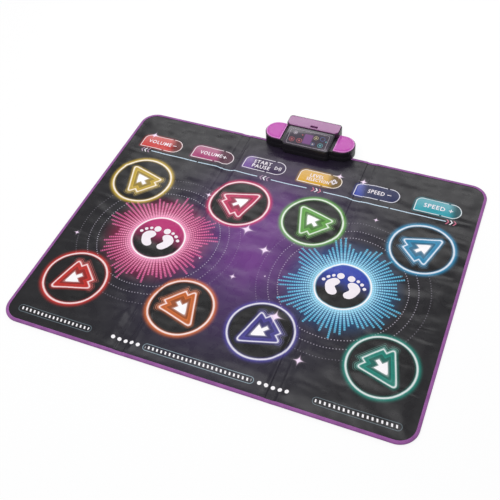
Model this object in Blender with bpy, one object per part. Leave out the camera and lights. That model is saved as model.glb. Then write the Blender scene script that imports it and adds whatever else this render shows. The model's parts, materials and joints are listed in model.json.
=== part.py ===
"""Foldable two-player dance mat with a battery console, modelled as its separate pieces.

Run with: blender --background --python part.py

The frame: +Z up, +X to the dancers' right, +Y towards the console. The origin is the centre of the
mat's underside, on the floor. Sizes are in metres. Each piece is one object with its own material,
and every moving piece has its origin on its joint's axis.
"""
import math

import bmesh
import bpy
from mathutils import Matrix, Vector

# Driving sizes of the mat
MAT_WIDTH = 1.200
MAT_DEPTH = 0.940
CORNER_RADIUS = 0.055
CREASE_INNER = 0.205          # from the centre line to the centre panel's fold crease
BAND_WIDTH = 0.032            # foam-free fold band between the centre panel and a side panel
CREASE_GAP = 0.0003           # cut between two panels that meet at a crease
GAP = 0.0003                  # clearance between pieces that touch

BASE_THICKNESS = 0.0007
FILM_THICKNESS = 0.0003
FOAM_THICKNESS = 0.0034
TOP_THICKNESS = 0.0007
BAND_THICKNESS = 0.0033
BINDING_WIDTH = 0.0135
BINDING_TAPE = 0.0008

# Pads that the feet press
ARROW_PAD_RADIUS = 0.080
PAD_TO_CREASE = 0.004         # top sheet left between a centre pad and its crease
OUTER_PAD_TO_SIDE = 0.140     # from an outer pad's centre to the mat's side
BACK_PAD_TO_EDGE = 0.312      # from the back row's centres to the mat's back edge
FRONT_PAD_TO_EDGE = 0.199     # from the front row's centres to the mat's front edge
CONTROL_PAD_LENGTH = 0.112
CONTROL_PAD_DEPTH = 0.046
CONTROL_TO_CREASE = 0.003     # top sheet left between a side panel's inner control pad and its crease
CONTROL_TO_LEFT = 0.125       # from the outer control pads' centres to the mat's sides
CONTROL_TO_RIGHT = 0.133
CENTRE_CONTROLS = (-0.103, 0.088)
CONTROL_TO_EDGE = 0.130       # from the control pads' centres to the mat's back edge
PAD_CLEARANCE = 0.0005
PAD_PROUD = 0.0004
PAD_TRAVEL = 0.0012

# Console, seen from above
CONSOLE_HALF_WIDTH = 0.155
CONSOLE_DEPTH = 0.128
CONSOLE_LAP = 0.045           # how far the console reaches in over the mat's back edge
LOBE_DEPTH = 0.085
LOBE_SETBACK = 0.0575         # from the console's front to the lobes' centre line
BLOCK_HALF_WIDTH = 0.080
DISPLAY_DEPTH = 0.0775
REAR_SETBACK = 0.075
REAR_OVERHANG = 0.011         # how much wider the rear block is on each side
CONSOLE_CORNER = 0.012
WALL = 0.0025

# Console, heights above its underside
SPLIT_HEIGHT = 0.0163
DECK_HEIGHT = 0.0343
DISPLAY_FRONT_HEIGHT = 0.0373
DISPLAY_BACK_HEIGHT = 0.0515
RIM_HEIGHT = 0.0529
REST_TOP_HEIGHT = 0.0573

LENS_THICKNESS = 0.0035
LENS_INSET = 0.003
LENS_OPENING_INSET = 0.004
WINDOW_THICKNESS = 0.0020
WINDOW_MARGIN = 0.003
WINDOW_LEDGE = 0.012
WINDOW_CORNER = 0.006
BOARD_THICKNESS = 0.0016
BOARD_MARGIN = 0.008
LAMP_MARGIN = 0.004           # from the display opening's edge to the raised lamp block

REST_SIDE_WALL = 0.003
REST_SETBACK = 0.001          # from the display's top edge to the phone rest
REST_DEPTH = 0.0455
REST_THICKNESS = 0.0072
REST_CORNER = 0.014
REST_CLEARANCE = 0.0004
POCKET_BACK_CORNER = 0.008    # squarer than the flap's, so that its barrel turns clear of the wall
FINGER_SLOT = (0.026, 0.009)
FINGER_SLOT_X = 0.004
FINGER_SLOT_SETBACK = 0.004
REST_PIN_RADIUS = 0.00125
PIN_SEAT = 0.0015             # how far the pin enters the rear block's side walls

CELL_RADIUS = 0.00725
CELL_LENGTH = 0.0505
CELL_COUNT = 3
CELL_SPACING = 0.0006
CONTACT_THICKNESS = 0.0034
RIB_THICKNESS = 0.0020
DOOR_LEDGE = 0.0013
DOOR_LIP = 0.0025
DOOR_LIP_THICKNESS = 0.0012

MAIN_BOARD = (0.090, 0.034)
BOARD_TO_BAY = 0.006
MAIN_BOARD_STAND = 0.0045
POST_RADIUS = 0.003
POST_INSET = 0.005
SPEAKER_RADIUS = 0.026
SPEAKER_HEIGHT = 0.013
SPEAKER_RIM_HEIGHT = 0.0026
SPEAKER_BASKET_HEIGHT = 0.0085
SPEAKER_MAGNET_RADIUS = 0.0117
GRILLE_HOLE_SIDES = 8
GRILLE_HOLE_RADIUS = 0.0022
GRILLE_RINGS = ((0, 1), (0.008, 5), (0.016, 8))
BOSS_TO_SWITCH = 0.020
SWITCH_TRAVEL = 0.005
SWITCH_KNOB = (0.005, 0.0040)
SWITCH_BODY = (0.007, 0.006)
SWITCH_FLANGE = 0.0015
SWITCH_PROUD = 0.0025
FOOT_RADIUS = 0.007
FOOT_TO_BACK = 0.017

CLAMP_SIZE = (0.144, 0.022)
CLAMP_SETBACK = 0.020         # from the console's front to the clamp screws
CLAMP_SCREW_X = (-0.062, -0.022, 0.022, 0.062)
SCREW_RADIUS = 0.0015
SCREW_HEAD_RADIUS = 0.0028
SCREW_HEAD_HEIGHT = 0.0018
SCREW_HEAD_SINK = 0.003
CLAMP_SCREW_LIFT = 0.0004     # how far the tip stays above the clamp plate's lower face
BOSS_RADIUS = 0.0042
BOSS_TO_SIDE = 0.011
BOSS_TO_BACK = 0.0125
HOUSING_SCREW_REACH = 0.008   # how far the screw enters the upper housing's boss
RIBBON_WIDTH = 0.016
RIBBON_THICKNESS = 0.0004
RIBBON_SETBACK = 0.005
RIBBON_FOOT = 0.003
RIBBON_LAP = 0.008

# Worked-out levels, from the floor up
FILM_Z = BASE_THICKNESS + GAP
FOAM_Z = FILM_Z + FILM_THICKNESS + GAP
TOP_Z = FOAM_Z + FOAM_THICKNESS + GAP
SURFACE_Z = TOP_Z + TOP_THICKNESS
HEM_Z = SURFACE_Z + GAP + BINDING_TAPE
PAD_BOTTOM_Z = FILM_Z + FILM_THICKNESS + GAP + PAD_TRAVEL
CONSOLE_Z = HEM_Z + GAP
FLOOR_TOP_Z = CONSOLE_Z + WALL
SPLIT_Z = CONSOLE_Z + SPLIT_HEIGHT
DECK_Z = CONSOLE_Z + DECK_HEIGHT
DISPLAY_FRONT_Z = CONSOLE_Z + DISPLAY_FRONT_HEIGHT
DISPLAY_BACK_Z = CONSOLE_Z + DISPLAY_BACK_HEIGHT
RIM_Z = CONSOLE_Z + RIM_HEIGHT
REST_TOP_Z = CONSOLE_Z + REST_TOP_HEIGHT
REST_AXIS_Z = REST_TOP_Z - REST_THICKNESS / 2
REST_BOTTOM_Z = REST_TOP_Z - REST_THICKNESS
POCKET_Z = REST_BOTTOM_Z - GAP
DOOR_TOP_Z = CONSOLE_Z + DOOR_LEDGE + GAP + DOOR_LIP_THICKNESS
CELL_Z = DOOR_TOP_Z + GAP + CELL_RADIUS
BOARD_Z = FLOOR_TOP_Z + MAIN_BOARD_STAND

# Worked-out places
CREASE_OUTER = CREASE_INNER + BAND_WIDTH
ARROW_PAD_X = (CREASE_INNER - PAD_TO_CREASE - ARROW_PAD_RADIUS, MAT_WIDTH / 2 - OUTER_PAD_TO_SIDE)
ARROW_PAD_Y = (MAT_DEPTH / 2 - BACK_PAD_TO_EDGE, FRONT_PAD_TO_EDGE - MAT_DEPTH / 2)
INNER_CONTROL_X = CREASE_OUTER + CONTROL_TO_CREASE + CONTROL_PAD_LENGTH / 2
CONTROL_PAD_X = (CONTROL_TO_LEFT - MAT_WIDTH / 2, -INNER_CONTROL_X, *CENTRE_CONTROLS,
                 INNER_CONTROL_X, MAT_WIDTH / 2 - CONTROL_TO_RIGHT)
CONTROL_PAD_Y = MAT_DEPTH / 2 - CONTROL_TO_EDGE
BLOCK_FRONT_Y = MAT_DEPTH / 2 - CONSOLE_LAP
REAR_BACK_Y = BLOCK_FRONT_Y + CONSOLE_DEPTH
REAR_FRONT_Y = BLOCK_FRONT_Y + REAR_SETBACK
LOBE_Y = BLOCK_FRONT_Y + LOBE_SETBACK
DISPLAY_BACK_Y = BLOCK_FRONT_Y + DISPLAY_DEPTH
DISPLAY_ANGLE = math.atan2(DISPLAY_BACK_Z - DISPLAY_FRONT_Z, DISPLAY_DEPTH)
REAR_HALF_WIDTH = BLOCK_HALF_WIDTH + REAR_OVERHANG
LENS_INNER_X = REAR_HALF_WIDTH + GAP
LOBE_CENTRE_X = CONSOLE_HALF_WIDTH - LOBE_DEPTH / 2
REST_HALF_WIDTH = REAR_HALF_WIDTH - REST_SIDE_WALL
REST_FRONT_Y = DISPLAY_BACK_Y + REST_SETBACK
REST_BACK_Y = REST_FRONT_Y + REST_DEPTH
REST_AXIS_Y = REST_BACK_Y - REST_THICKNESS / 2
REST_PIN_HALF_LENGTH = REST_HALF_WIDTH + PIN_SEAT
CELL_PITCH = 2 * CELL_RADIUS + CELL_SPACING
BAY_BACK_Y = REAR_BACK_Y - WALL - GAP
BAY_FRONT_Y = BAY_BACK_Y - 2 * CELL_RADIUS - (CELL_COUNT - 1) * CELL_PITCH
DOOR_HALF_WIDTH = CELL_LENGTH / 2 + CELL_SPACING
CONTACT_X = CELL_LENGTH / 2 + GAP
RIB_X = max(CONTACT_X + CONTACT_THICKNESS, DOOR_HALF_WIDTH + DOOR_LIP) + GAP
MAIN_BOARD_Y = BAY_FRONT_Y - RIB_THICKNESS - BOARD_TO_BAY - MAIN_BOARD[1] / 2
HOUSING_SCREW_X = REAR_HALF_WIDTH - BOSS_TO_SIDE
HOUSING_SCREW_Y = REAR_BACK_Y - BOSS_TO_BACK
SWITCH_X = HOUSING_SCREW_X - BOSS_TO_SWITCH
FOOT_X = SWITCH_X
FOOT_Y = REAR_BACK_Y - FOOT_TO_BACK
CLAMP_Y = BLOCK_FRONT_Y + CLAMP_SETBACK
RIBBON_Y = BLOCK_FRONT_Y + RIBBON_SETBACK
SCREW_HOLE_RADIUS = SCREW_RADIUS + GAP

PAST = 0.010                  # how far a cutter runs past what it cuts
ARC_STEPS = 6
ROUND_SIDES = 20
PAD_SIDES = 40
SMALL_SIDES = 12

BLACK_PLASTIC = (0.010, 0.009, 0.012)
MAGENTA = (0.56, 0.10, 0.46)
VINYL_BLACK = (0.022, 0.020, 0.026)
PURPLE = (0.25, 0.06, 0.28)


def clear_scene():
    """Remove whatever the scene holds."""
    for item in list(bpy.data.objects):
        bpy.data.objects.remove(item, do_unlink=True)


def finish(name, colour, roughness, metallic=0.0, alpha=1.0):
    """Make a Principled material for one piece."""
    material = bpy.data.materials.new(name)
    material.use_nodes = True
    shader = material.node_tree.nodes["Principled BSDF"]
    shader.inputs["Base Color"].default_value = (*colour, 1.0)
    shader.inputs["Roughness"].default_value = roughness
    shader.inputs["Metallic"].default_value = metallic
    shader.inputs["Alpha"].default_value = alpha
    return material


def add_object(name, shape):
    """Turn a bmesh into an object with outward faces."""
    bmesh.ops.recalc_face_normals(shape, faces=shape.faces)
    mesh = bpy.data.meshes.new(name)
    shape.to_mesh(mesh)
    shape.free()
    item = bpy.data.objects.new(name, mesh)
    bpy.context.collection.objects.link(item)
    return item


def prism(name, outline, low, high):
    """Extrude a flat outline of (x, y) points from one height to another."""
    shape = bmesh.new()
    base = shape.faces.new([shape.verts.new((x, y, low)) for x, y in outline])
    raised = bmesh.ops.extrude_face_region(shape, geom=[base])["geom"]
    corners = [part for part in raised if isinstance(part, bmesh.types.BMVert)]
    bmesh.ops.translate(shape, vec=(0, 0, high - low), verts=corners)
    return add_object(name, shape)


def side_prism(name, profile, half_width):
    """Extrude a (y, z) profile along X, to both sides of the centre line."""
    item = prism(name, profile, -half_width, half_width)
    # The prism's x, y, z are the profile's y, z and the width.
    item.data.transform(Matrix(((0, 0, 1, 0), (1, 0, 0, 0), (0, 1, 0, 0), (0, 0, 0, 1))))
    return item


def block(name, low, high):
    """A box between two corners."""
    outline = ((low[0], low[1]), (high[0], low[1]), (high[0], high[1]), (low[0], high[1]))
    return prism(name, outline, low[2], high[2])


def cylinder(name, radius, centre, low, high, sides=ROUND_SIDES, axis="Z"):
    """A cylinder along Z, or along X with centre given as (y, z)."""
    outline = [(centre[0] + radius * math.cos(turn), centre[1] + radius * math.sin(turn))
               for turn in (2 * math.pi * step / sides for step in range(sides))]
    item = prism(name, outline, low, high)
    if axis == "X":
        item.data.transform(Matrix(((0, 0, 1, 0), (1, 0, 0, 0), (0, 1, 0, 0), (0, 0, 0, 1))))
    return item


def rounded(low, high, radii):
    """A rectangle's outline with a radius at each corner, anticlockwise from the low corner."""
    corners = ((low[0], low[1], 1, 1, 180), (high[0], low[1], -1, 1, 270),
               (high[0], high[1], -1, -1, 0), (low[0], high[1], 1, -1, 90))
    points = []
    for (x, y, to_x, to_y, start), radius in zip(corners, radii):
        if radius <= 0:
            points.append((x, y))
            continue
        for step in range(ARC_STEPS + 1):
            turn = math.radians(start + 90 * step / ARC_STEPS)
            points.append((x + to_x * radius + radius * math.cos(turn),
                           y + to_y * radius + radius * math.sin(turn)))
    return points


def stadium(centre, length, depth):
    """An outline with fully round ends, along X."""
    radius = depth / 2
    points = []
    for side, start in ((1, -90), (-1, 90)):
        for step in range(2 * ARC_STEPS + 1):
            turn = math.radians(start + 90 * step / ARC_STEPS)
            points.append((centre[0] + side * (length / 2 - radius) + radius * math.cos(turn),
                           centre[1] + radius * math.sin(turn)))
    return points


def combine(item, others, operation):
    """Join other solids to a solid, or cut them out of it, and delete them."""
    for other in others:
        tool = item.modifiers.new(operation.lower(), "BOOLEAN")
        tool.operation = operation
        tool.solver = "EXACT"
        tool.object = other
        bpy.context.view_layer.update()
        evaluated = item.evaluated_get(bpy.context.evaluated_depsgraph_get())
        mesh = bpy.data.meshes.new_from_object(evaluated)
        item.modifiers.clear()
        old = item.data
        item.data = mesh
        bpy.data.meshes.remove(old)
        bpy.data.objects.remove(other, do_unlink=True)
    return item


def join(item, *others):
    """Boolean union."""
    return combine(item, others, "UNION")


def cut(item, *others):
    """Boolean difference."""
    return combine(item, others, "DIFFERENCE")


def done(item, name, material, pivot=None):
    """Name a finished piece, give it its material, and set its origin on its joint's axis."""
    item.name = name
    item.data.name = name
    item.data.materials.clear()
    item.data.materials.append(material)
    if pivot is not None:
        item.data.transform(Matrix.Translation(-Vector(pivot)))
        item.location = pivot
    item.data.shade_smooth()
    item.data.set_sharp_from_angle(angle=math.radians(35))
    return item


def panel_outline(side, inset, reach=0.0):
    """The outline of a panel, set in from the mat's edge.

    side is -1 for the left panel, 0 for the centre and 1 for the right one. reach carries the
    outline past the creases, for a cutter that must run out of them.
    """
    half_depth = MAT_DEPTH / 2 - inset
    if side == 0:
        half_width = CREASE_INNER - CREASE_GAP / 2 + reach
        return rounded((-half_width, -half_depth), (half_width, half_depth), (0, 0, 0, 0))
    near = CREASE_OUTER + CREASE_GAP / 2 - reach
    far = MAT_WIDTH / 2 - inset
    radius = CORNER_RADIUS - inset
    if side > 0:
        return rounded((near, -half_depth), (far, half_depth), (0, radius, radius, 0))
    return rounded((-far, -half_depth), (-near, half_depth), (radius, 0, 0, radius))


def arrow_pad_places(side):
    """The arrow pads of a panel, as (x, y) centres."""
    across = [side * ARROW_PAD_X[1]] if side else [-ARROW_PAD_X[0], ARROW_PAD_X[0]]
    return [(x, y) for y in ARROW_PAD_Y for x in across]


def control_pad_places(side):
    """The control pads of a panel, as (x, y) centres."""
    inside = {-1: lambda x: x < -CREASE_INNER, 0: lambda x: abs(x) < CREASE_INNER,
              1: lambda x: x > CREASE_INNER}[side]
    return [(x, CONTROL_PAD_Y) for x in CONTROL_PAD_X if inside(x)]


def pad_cutters(side):
    """Cutters for the holes that a panel's pads move in."""
    low, high = FOAM_Z - PAST, HEM_Z + PAST
    holes = [cylinder("hole", ARROW_PAD_RADIUS + PAD_CLEARANCE, place, low, high, PAD_SIDES)
             for place in arrow_pad_places(side)]
    length = CONTROL_PAD_LENGTH + 2 * PAD_CLEARANCE
    depth = CONTROL_PAD_DEPTH + 2 * PAD_CLEARANCE
    holes += [prism("hole", stadium(place, length, depth), low, high)
              for place in control_pad_places(side)]
    return holes


def console_fixing_cutter():
    """Cutter through the centre panel's foam for the clamp plate and the ribbon."""
    half_width = CLAMP_SIZE[0] / 2 + GAP
    back = CLAMP_Y + CLAMP_SIZE[1] / 2 + GAP
    front = RIBBON_Y - RIBBON_FOOT - GAP
    return block("hole", (-half_width, front, FOAM_Z - PAST), (half_width, back, TOP_Z))


def clamp_hole_cutters(low, high):
    """Cutters for the clamp screws."""
    return [cylinder("hole", SCREW_HOLE_RADIUS, (x, CLAMP_Y), low, high, SMALL_SIDES)
            for x in CLAMP_SCREW_X]


def ribbon_cutter(low, high):
    """Cutter for the slot that the ribbon rises through."""
    return block("hole", (-RIBBON_WIDTH / 2 - GAP, RIBBON_Y - GAP, low),
                 (RIBBON_WIDTH / 2 + GAP, RIBBON_Y + RIBBON_THICKNESS + GAP, high))


def build_panel(side, label):
    """One foam panel: underside sheet, sensor film, foam, printed top sheet and its binding."""
    hem_inset = BINDING_WIDTH + GAP
    edge_inset = BINDING_TAPE + GAP

    base = prism("base", panel_outline(side, hem_inset), 0, BASE_THICKNESS)
    done(base, f"{label}_base_sheet", finish("base_sheet", (0.02, 0.02, 0.022), 0.8))

    film = prism("film", panel_outline(side, edge_inset), FILM_Z, FILM_Z + FILM_THICKNESS)
    done(film, f"{label}_sensor_film", finish("sensor_film", (0.55, 0.52, 0.45), 0.35))

    foam = prism("foam", panel_outline(side, edge_inset), FOAM_Z, FOAM_Z + FOAM_THICKNESS)
    cut(foam, *pad_cutters(side))
    if side == 0:
        cut(foam, console_fixing_cutter())
    done(foam, f"{label}_foam_layer", finish("foam_layer", (0.65, 0.65, 0.62), 0.9))

    top = prism("top", panel_outline(side, edge_inset), TOP_Z, SURFACE_Z)
    cut(top, *pad_cutters(side))
    if side == 0:
        cut(top, *clamp_hole_cutters(FOAM_Z, HEM_Z), ribbon_cutter(FOAM_Z, HEM_Z))
    done(top, f"{label}_top_sheet", finish("top_sheet", VINYL_BLACK, 0.35))


def build_side_binding(side, label):
    """The folded tape around a side panel's three outer edges."""
    tape = prism("tape", panel_outline(side, 0), 0, HEM_Z)
    pocket = prism("pocket", panel_outline(side, BINDING_TAPE, PAST), BINDING_TAPE, HEM_Z - BINDING_TAPE)
    middle = prism("middle", panel_outline(side, BINDING_WIDTH, PAST), -PAST, HEM_Z + PAST)
    cut(tape, pocket, middle)
    done(tape, f"{label}_binding", finish("binding", PURPLE, 0.55))


def build_centre_binding(end, label):
    """The folded tape on the centre panel's front or back edge."""
    half_width = CREASE_INNER - CREASE_GAP / 2
    outer = MAT_DEPTH / 2
    depths = sorted((end * (outer - BINDING_WIDTH), end * outer))
    inner = sorted((end * (outer - BINDING_WIDTH - PAST), end * (outer - BINDING_TAPE)))
    tape = block("tape", (-half_width, depths[0], 0), (half_width, depths[1], HEM_Z))
    pocket = block("pocket", (-half_width - PAST, inner[0], BINDING_TAPE),
                   (half_width + PAST, inner[1], HEM_Z - BINDING_TAPE))
    cut(tape, pocket)
    done(tape, f"centre_{label}_binding", finish("binding", PURPLE, 0.55))


def build_fold_band(side, label):
    """The thin welded band that a side panel folds over on."""
    near = CREASE_INNER + CREASE_GAP / 2
    far = CREASE_OUTER - CREASE_GAP / 2
    low, high = sorted((side * near, side * far))
    band = block("band", (low, -MAT_DEPTH / 2, 0), (high, MAT_DEPTH / 2, BAND_THICKNESS))
    done(band, f"{label}_fold_band", finish("fold_band", VINYL_BLACK, 0.4),
         (side * CREASE_INNER, 0, SURFACE_Z))


def build_pads():
    """The eight arrow pads and six control pads, each on its own vertical travel."""
    columns = ("far_left", "left", "right", "far_right")
    colours = {"back": ((0.55, 0.40, 0.03), (0.55, 0.03, 0.12), (0.10, 0.32, 0.04), (0.02, 0.18, 0.42)),
               "front": ((0.60, 0.03, 0.02), (0.60, 0.16, 0.02), (0.05, 0.04, 0.28), (0.02, 0.24, 0.14))}
    across = (-ARROW_PAD_X[1], -ARROW_PAD_X[0], ARROW_PAD_X[0], ARROW_PAD_X[1])
    for row, y in zip(("back", "front"), ARROW_PAD_Y):
        for column, x, colour in zip(columns, across, colours[row]):
            pad = cylinder("pad", ARROW_PAD_RADIUS, (x, y), PAD_BOTTOM_Z, SURFACE_Z + PAD_PROUD, PAD_SIDES)
            done(pad, f"{row}_{column}_arrow_pad", finish("arrow_pad", colour, 0.35), (x, y, PAD_BOTTOM_Z))
    names = ("volume_down", "volume_up", "start_pause", "level_select", "speed_down", "speed_up")
    for name, x in zip(names, CONTROL_PAD_X):
        outline = stadium((x, CONTROL_PAD_Y), CONTROL_PAD_LENGTH, CONTROL_PAD_DEPTH)
        pad = prism("pad", outline, PAD_BOTTOM_Z, SURFACE_Z + PAD_PROUD)
        done(pad, f"{name}_pad", finish("control_pad", (0.12, 0.04, 0.14), 0.35),
             (x, CONTROL_PAD_Y, PAD_BOTTOM_Z))


def plan_outline(front, half_width, inset, corners):
    """A console block's plan, set in from its outer face, with its front and back corner radii."""
    front_radius, back_radius = (corner - inset for corner in corners)
    return rounded((-half_width + inset, front + inset), (half_width - inset, REAR_BACK_Y - inset),
                   (front_radius, front_radius, back_radius, back_radius))


def display_height(y):
    """Height of the sloping display face's plane."""
    return DISPLAY_FRONT_Z + (y - BLOCK_FRONT_Y) * math.tan(DISPLAY_ANGLE)


def lobes(inset, low, high):
    """The long round-ended body, set in from its outer face."""
    return prism("lobes", stadium((0, LOBE_Y), 2 * (CONSOLE_HALF_WIDTH - inset), LOBE_DEPTH - 2 * inset),
                 low, high)


def front_block(inset, low, high):
    """The middle block with an upright front, set in from its outer face."""
    corners = (CONSOLE_CORNER, CONSOLE_CORNER)
    return prism("front_block", plan_outline(BLOCK_FRONT_Y, BLOCK_HALF_WIDTH, inset, corners), low, high)


def display_block(inset, low):
    """The middle block under the sloping display, set in from its outer face."""
    front, back = BLOCK_FRONT_Y + inset, REAR_BACK_Y - inset
    drop = inset / math.cos(DISPLAY_ANGLE)
    profile = ((front, low), (back, low), (back, display_height(DISPLAY_BACK_Y) - drop),
               (DISPLAY_BACK_Y, display_height(DISPLAY_BACK_Y) - drop),
               (front, display_height(front) - drop))
    slope = side_prism("slope", profile, BLOCK_HALF_WIDTH + PAST)
    return combine(slope, (front_block(inset, low - PAST, RIM_Z + PAST),), "INTERSECT")


def rear_block(inset, low, high):
    """The wider block that carries the phone rest, set in from its outer face."""
    corners = (REST_CORNER + WALL, POCKET_BACK_CORNER + WALL)
    return prism("rear_block", plan_outline(REAR_FRONT_Y, REAR_HALF_WIDTH, inset, corners), low, high)


def lens_outline(side, inset):
    """The D-shaped light lens at one end of the console, set in from its own edge."""
    radius = LOBE_DEPTH / 2 - LENS_INSET - inset
    near = LENS_INNER_X + inset
    points = [(side * near, LOBE_Y - side * radius)]
    for step in range(2 * ARC_STEPS + 1):
        turn = math.radians(-90 + 90 * step / ARC_STEPS)
        points.append((side * (LOBE_CENTRE_X + radius * math.cos(turn)),
                       LOBE_Y + side * radius * math.sin(turn)))
    points.append((side * near, LOBE_Y + side * radius))
    return points


def on_slope(item):
    """Turn a solid made flat about the display's front edge onto the sloping face."""
    pivot = Vector((0, BLOCK_FRONT_Y, DISPLAY_FRONT_Z))
    item.data.transform(Matrix.Translation(pivot) @ Matrix.Rotation(DISPLAY_ANGLE, 4, "X"))
    return item


def slope_plate(half_width, margins, low, high, corner):
    """A plate on the sloping face, given by its front and back margins."""
    length = (DISPLAY_BACK_Y - BLOCK_FRONT_Y) / math.cos(DISPLAY_ANGLE)
    outline = rounded((-half_width, margins[0]), (half_width, length - margins[1]), (corner,) * 4)
    return on_slope(prism("plate", outline, low, high))


def door_cutter():
    """The opening in the lower housing's floor and back wall for the battery door."""
    past = REAR_BACK_Y + PAST
    lower = block("hole", (-DOOR_HALF_WIDTH - GAP, BAY_FRONT_Y - GAP, CONSOLE_Z - PAST),
                  (DOOR_HALF_WIDTH + GAP, past, DOOR_TOP_Z + GAP))
    lip = DOOR_HALF_WIDTH + DOOR_LIP + GAP
    upper = block("hole", (-lip, BAY_FRONT_Y - GAP, CONSOLE_Z + DOOR_LEDGE), (lip, past, DOOR_TOP_Z + GAP))
    return join(lower, upper)


def build_lower_housing():
    """The console's tray: floor, walls, battery ribs, board posts and screw holes."""
    tray = join(lobes(0, CONSOLE_Z, SPLIT_Z), front_block(0, CONSOLE_Z, SPLIT_Z),
                rear_block(0, CONSOLE_Z, SPLIT_Z))
    above = SPLIT_Z + PAST
    cut(tray, lobes(WALL, FLOOR_TOP_Z, above), front_block(WALL, FLOOR_TOP_Z, above),
        rear_block(WALL, FLOOR_TOP_Z, above))

    under = FLOOR_TOP_Z - WALL / 2
    ribs = [block("rib", (x, BAY_FRONT_Y, under),
                  (x + RIB_THICKNESS, REAR_BACK_Y - WALL / 2, SPLIT_Z - GAP))
            for x in (RIB_X, -RIB_X - RIB_THICKNESS)]
    ribs.append(block("rib", (-RIB_X - RIB_THICKNESS, BAY_FRONT_Y - GAP - RIB_THICKNESS, under),
                      (RIB_X + RIB_THICKNESS, BAY_FRONT_Y - GAP, SPLIT_Z - GAP)))
    post_x, post_y = (size / 2 - POST_INSET for size in MAIN_BOARD)
    posts = [cylinder("post", POST_RADIUS, (x, MAIN_BOARD_Y + y), under, BOARD_Z - GAP, SMALL_SIDES)
             for x in (-post_x, post_x) for y in (-post_y, post_y)]
    bosses = [cylinder("boss", BOSS_RADIUS, (x, HOUSING_SCREW_Y), under, SPLIT_Z, SMALL_SIDES)
              for x in (-HOUSING_SCREW_X, HOUSING_SCREW_X)]
    join(tray, *ribs, *posts, *bosses)

    low, high = CONSOLE_Z - PAST, SPLIT_Z + PAST
    grille = [cylinder("hole", GRILLE_HOLE_RADIUS,
                       (ring * math.cos(turn) - LOBE_CENTRE_X, LOBE_Y + ring * math.sin(turn)),
                       low, high, GRILLE_HOLE_SIDES)
              for ring, count in GRILLE_RINGS
              for turn in (2 * math.pi * step / count for step in range(count))]
    screw_holes = []
    for place in ((-HOUSING_SCREW_X, HOUSING_SCREW_Y), (HOUSING_SCREW_X, HOUSING_SCREW_Y)):
        screw_holes.append(cylinder("hole", SCREW_HOLE_RADIUS, place, low, high, SMALL_SIDES))
        screw_holes.append(cylinder("hole", SCREW_HEAD_RADIUS + GAP, place, low,
                                    CONSOLE_Z + SCREW_HEAD_SINK + SCREW_HEAD_HEIGHT, SMALL_SIDES))
    fixing_holes = [*clamp_hole_cutters(low, high), ribbon_cutter(low, high)]
    low, high = switch_slot_heights()
    switch_slot = block("hole", (SWITCH_X - SWITCH_KNOB[0] / 2 - GAP, REAR_BACK_Y - WALL - GAP, low),
                        (SWITCH_X + SWITCH_KNOB[0] / 2 + SWITCH_TRAVEL + GAP, REAR_BACK_Y + PAST, high))
    cut(tray, door_cutter(), *fixing_holes, *grille, *screw_holes, switch_slot)
    done(tray, "console_lower_housing", finish("lower_housing", BLACK_PLASTIC, 0.45))


def build_upper_housing():
    """The console's cover: decks for the lenses, sloping display face and phone rest pocket."""
    low = SPLIT_Z + GAP
    cover = join(lobes(0, low, DECK_Z), display_block(0, low), rear_block(0, low, RIM_Z))
    below = low - PAST
    cut(cover, lobes(WALL, below, DECK_Z - WALL), display_block(WALL, below),
        rear_block(WALL, below, POCKET_Z - WALL))
    bosses = [cylinder("boss", BOSS_RADIUS, (x, HOUSING_SCREW_Y), low, POCKET_Z - WALL / 2, SMALL_SIDES)
              for x in (-HOUSING_SCREW_X, HOUSING_SCREW_X)]
    join(cover, *bosses)

    pocket = prism("pocket", rounded((-REST_HALF_WIDTH - REST_CLEARANCE, REST_FRONT_Y - REST_CLEARANCE),
                                     (REST_HALF_WIDTH + REST_CLEARANCE, REST_BACK_Y + REST_CLEARANCE),
                                     (REST_CORNER + REST_CLEARANCE,) * 2 + (POCKET_BACK_CORNER,) * 2),
                   POCKET_Z, RIM_Z + PAST)
    pin_hole = cylinder("hole", REST_PIN_RADIUS + GAP, (REST_AXIS_Y, REST_AXIS_Z),
                        -REST_PIN_HALF_LENGTH - GAP, REST_PIN_HALF_LENGTH + GAP, SMALL_SIDES, "X")
    recess = slope_plate(BLOCK_HALF_WIDTH - WINDOW_MARGIN + GAP, (WINDOW_MARGIN - GAP, WINDOW_MARGIN - GAP),
                         -WINDOW_THICKNESS / 2, PAST, WINDOW_CORNER)
    opening = slope_plate(BLOCK_HALF_WIDTH - WINDOW_LEDGE, (WINDOW_LEDGE, WINDOW_LEDGE),
                          -PAST, PAST, WINDOW_CORNER / 2)
    lens_holes = [prism("hole", lens_outline(side, LENS_OPENING_INSET), DECK_Z - WALL - PAST, DECK_Z + PAST)
                  for side in (-1, 1)]
    screw_end = low + HOUSING_SCREW_REACH + SCREW_RADIUS
    screw_holes = [cylinder("hole", SCREW_HOLE_RADIUS, (x, HOUSING_SCREW_Y), below, screw_end, SMALL_SIDES)
                   for x in (-HOUSING_SCREW_X, HOUSING_SCREW_X)]
    cut(cover, pocket, pin_hole, recess, opening, *lens_holes, *screw_holes)
    done(cover, "console_upper_housing", finish("upper_housing", BLACK_PLASTIC, 0.35))


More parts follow.
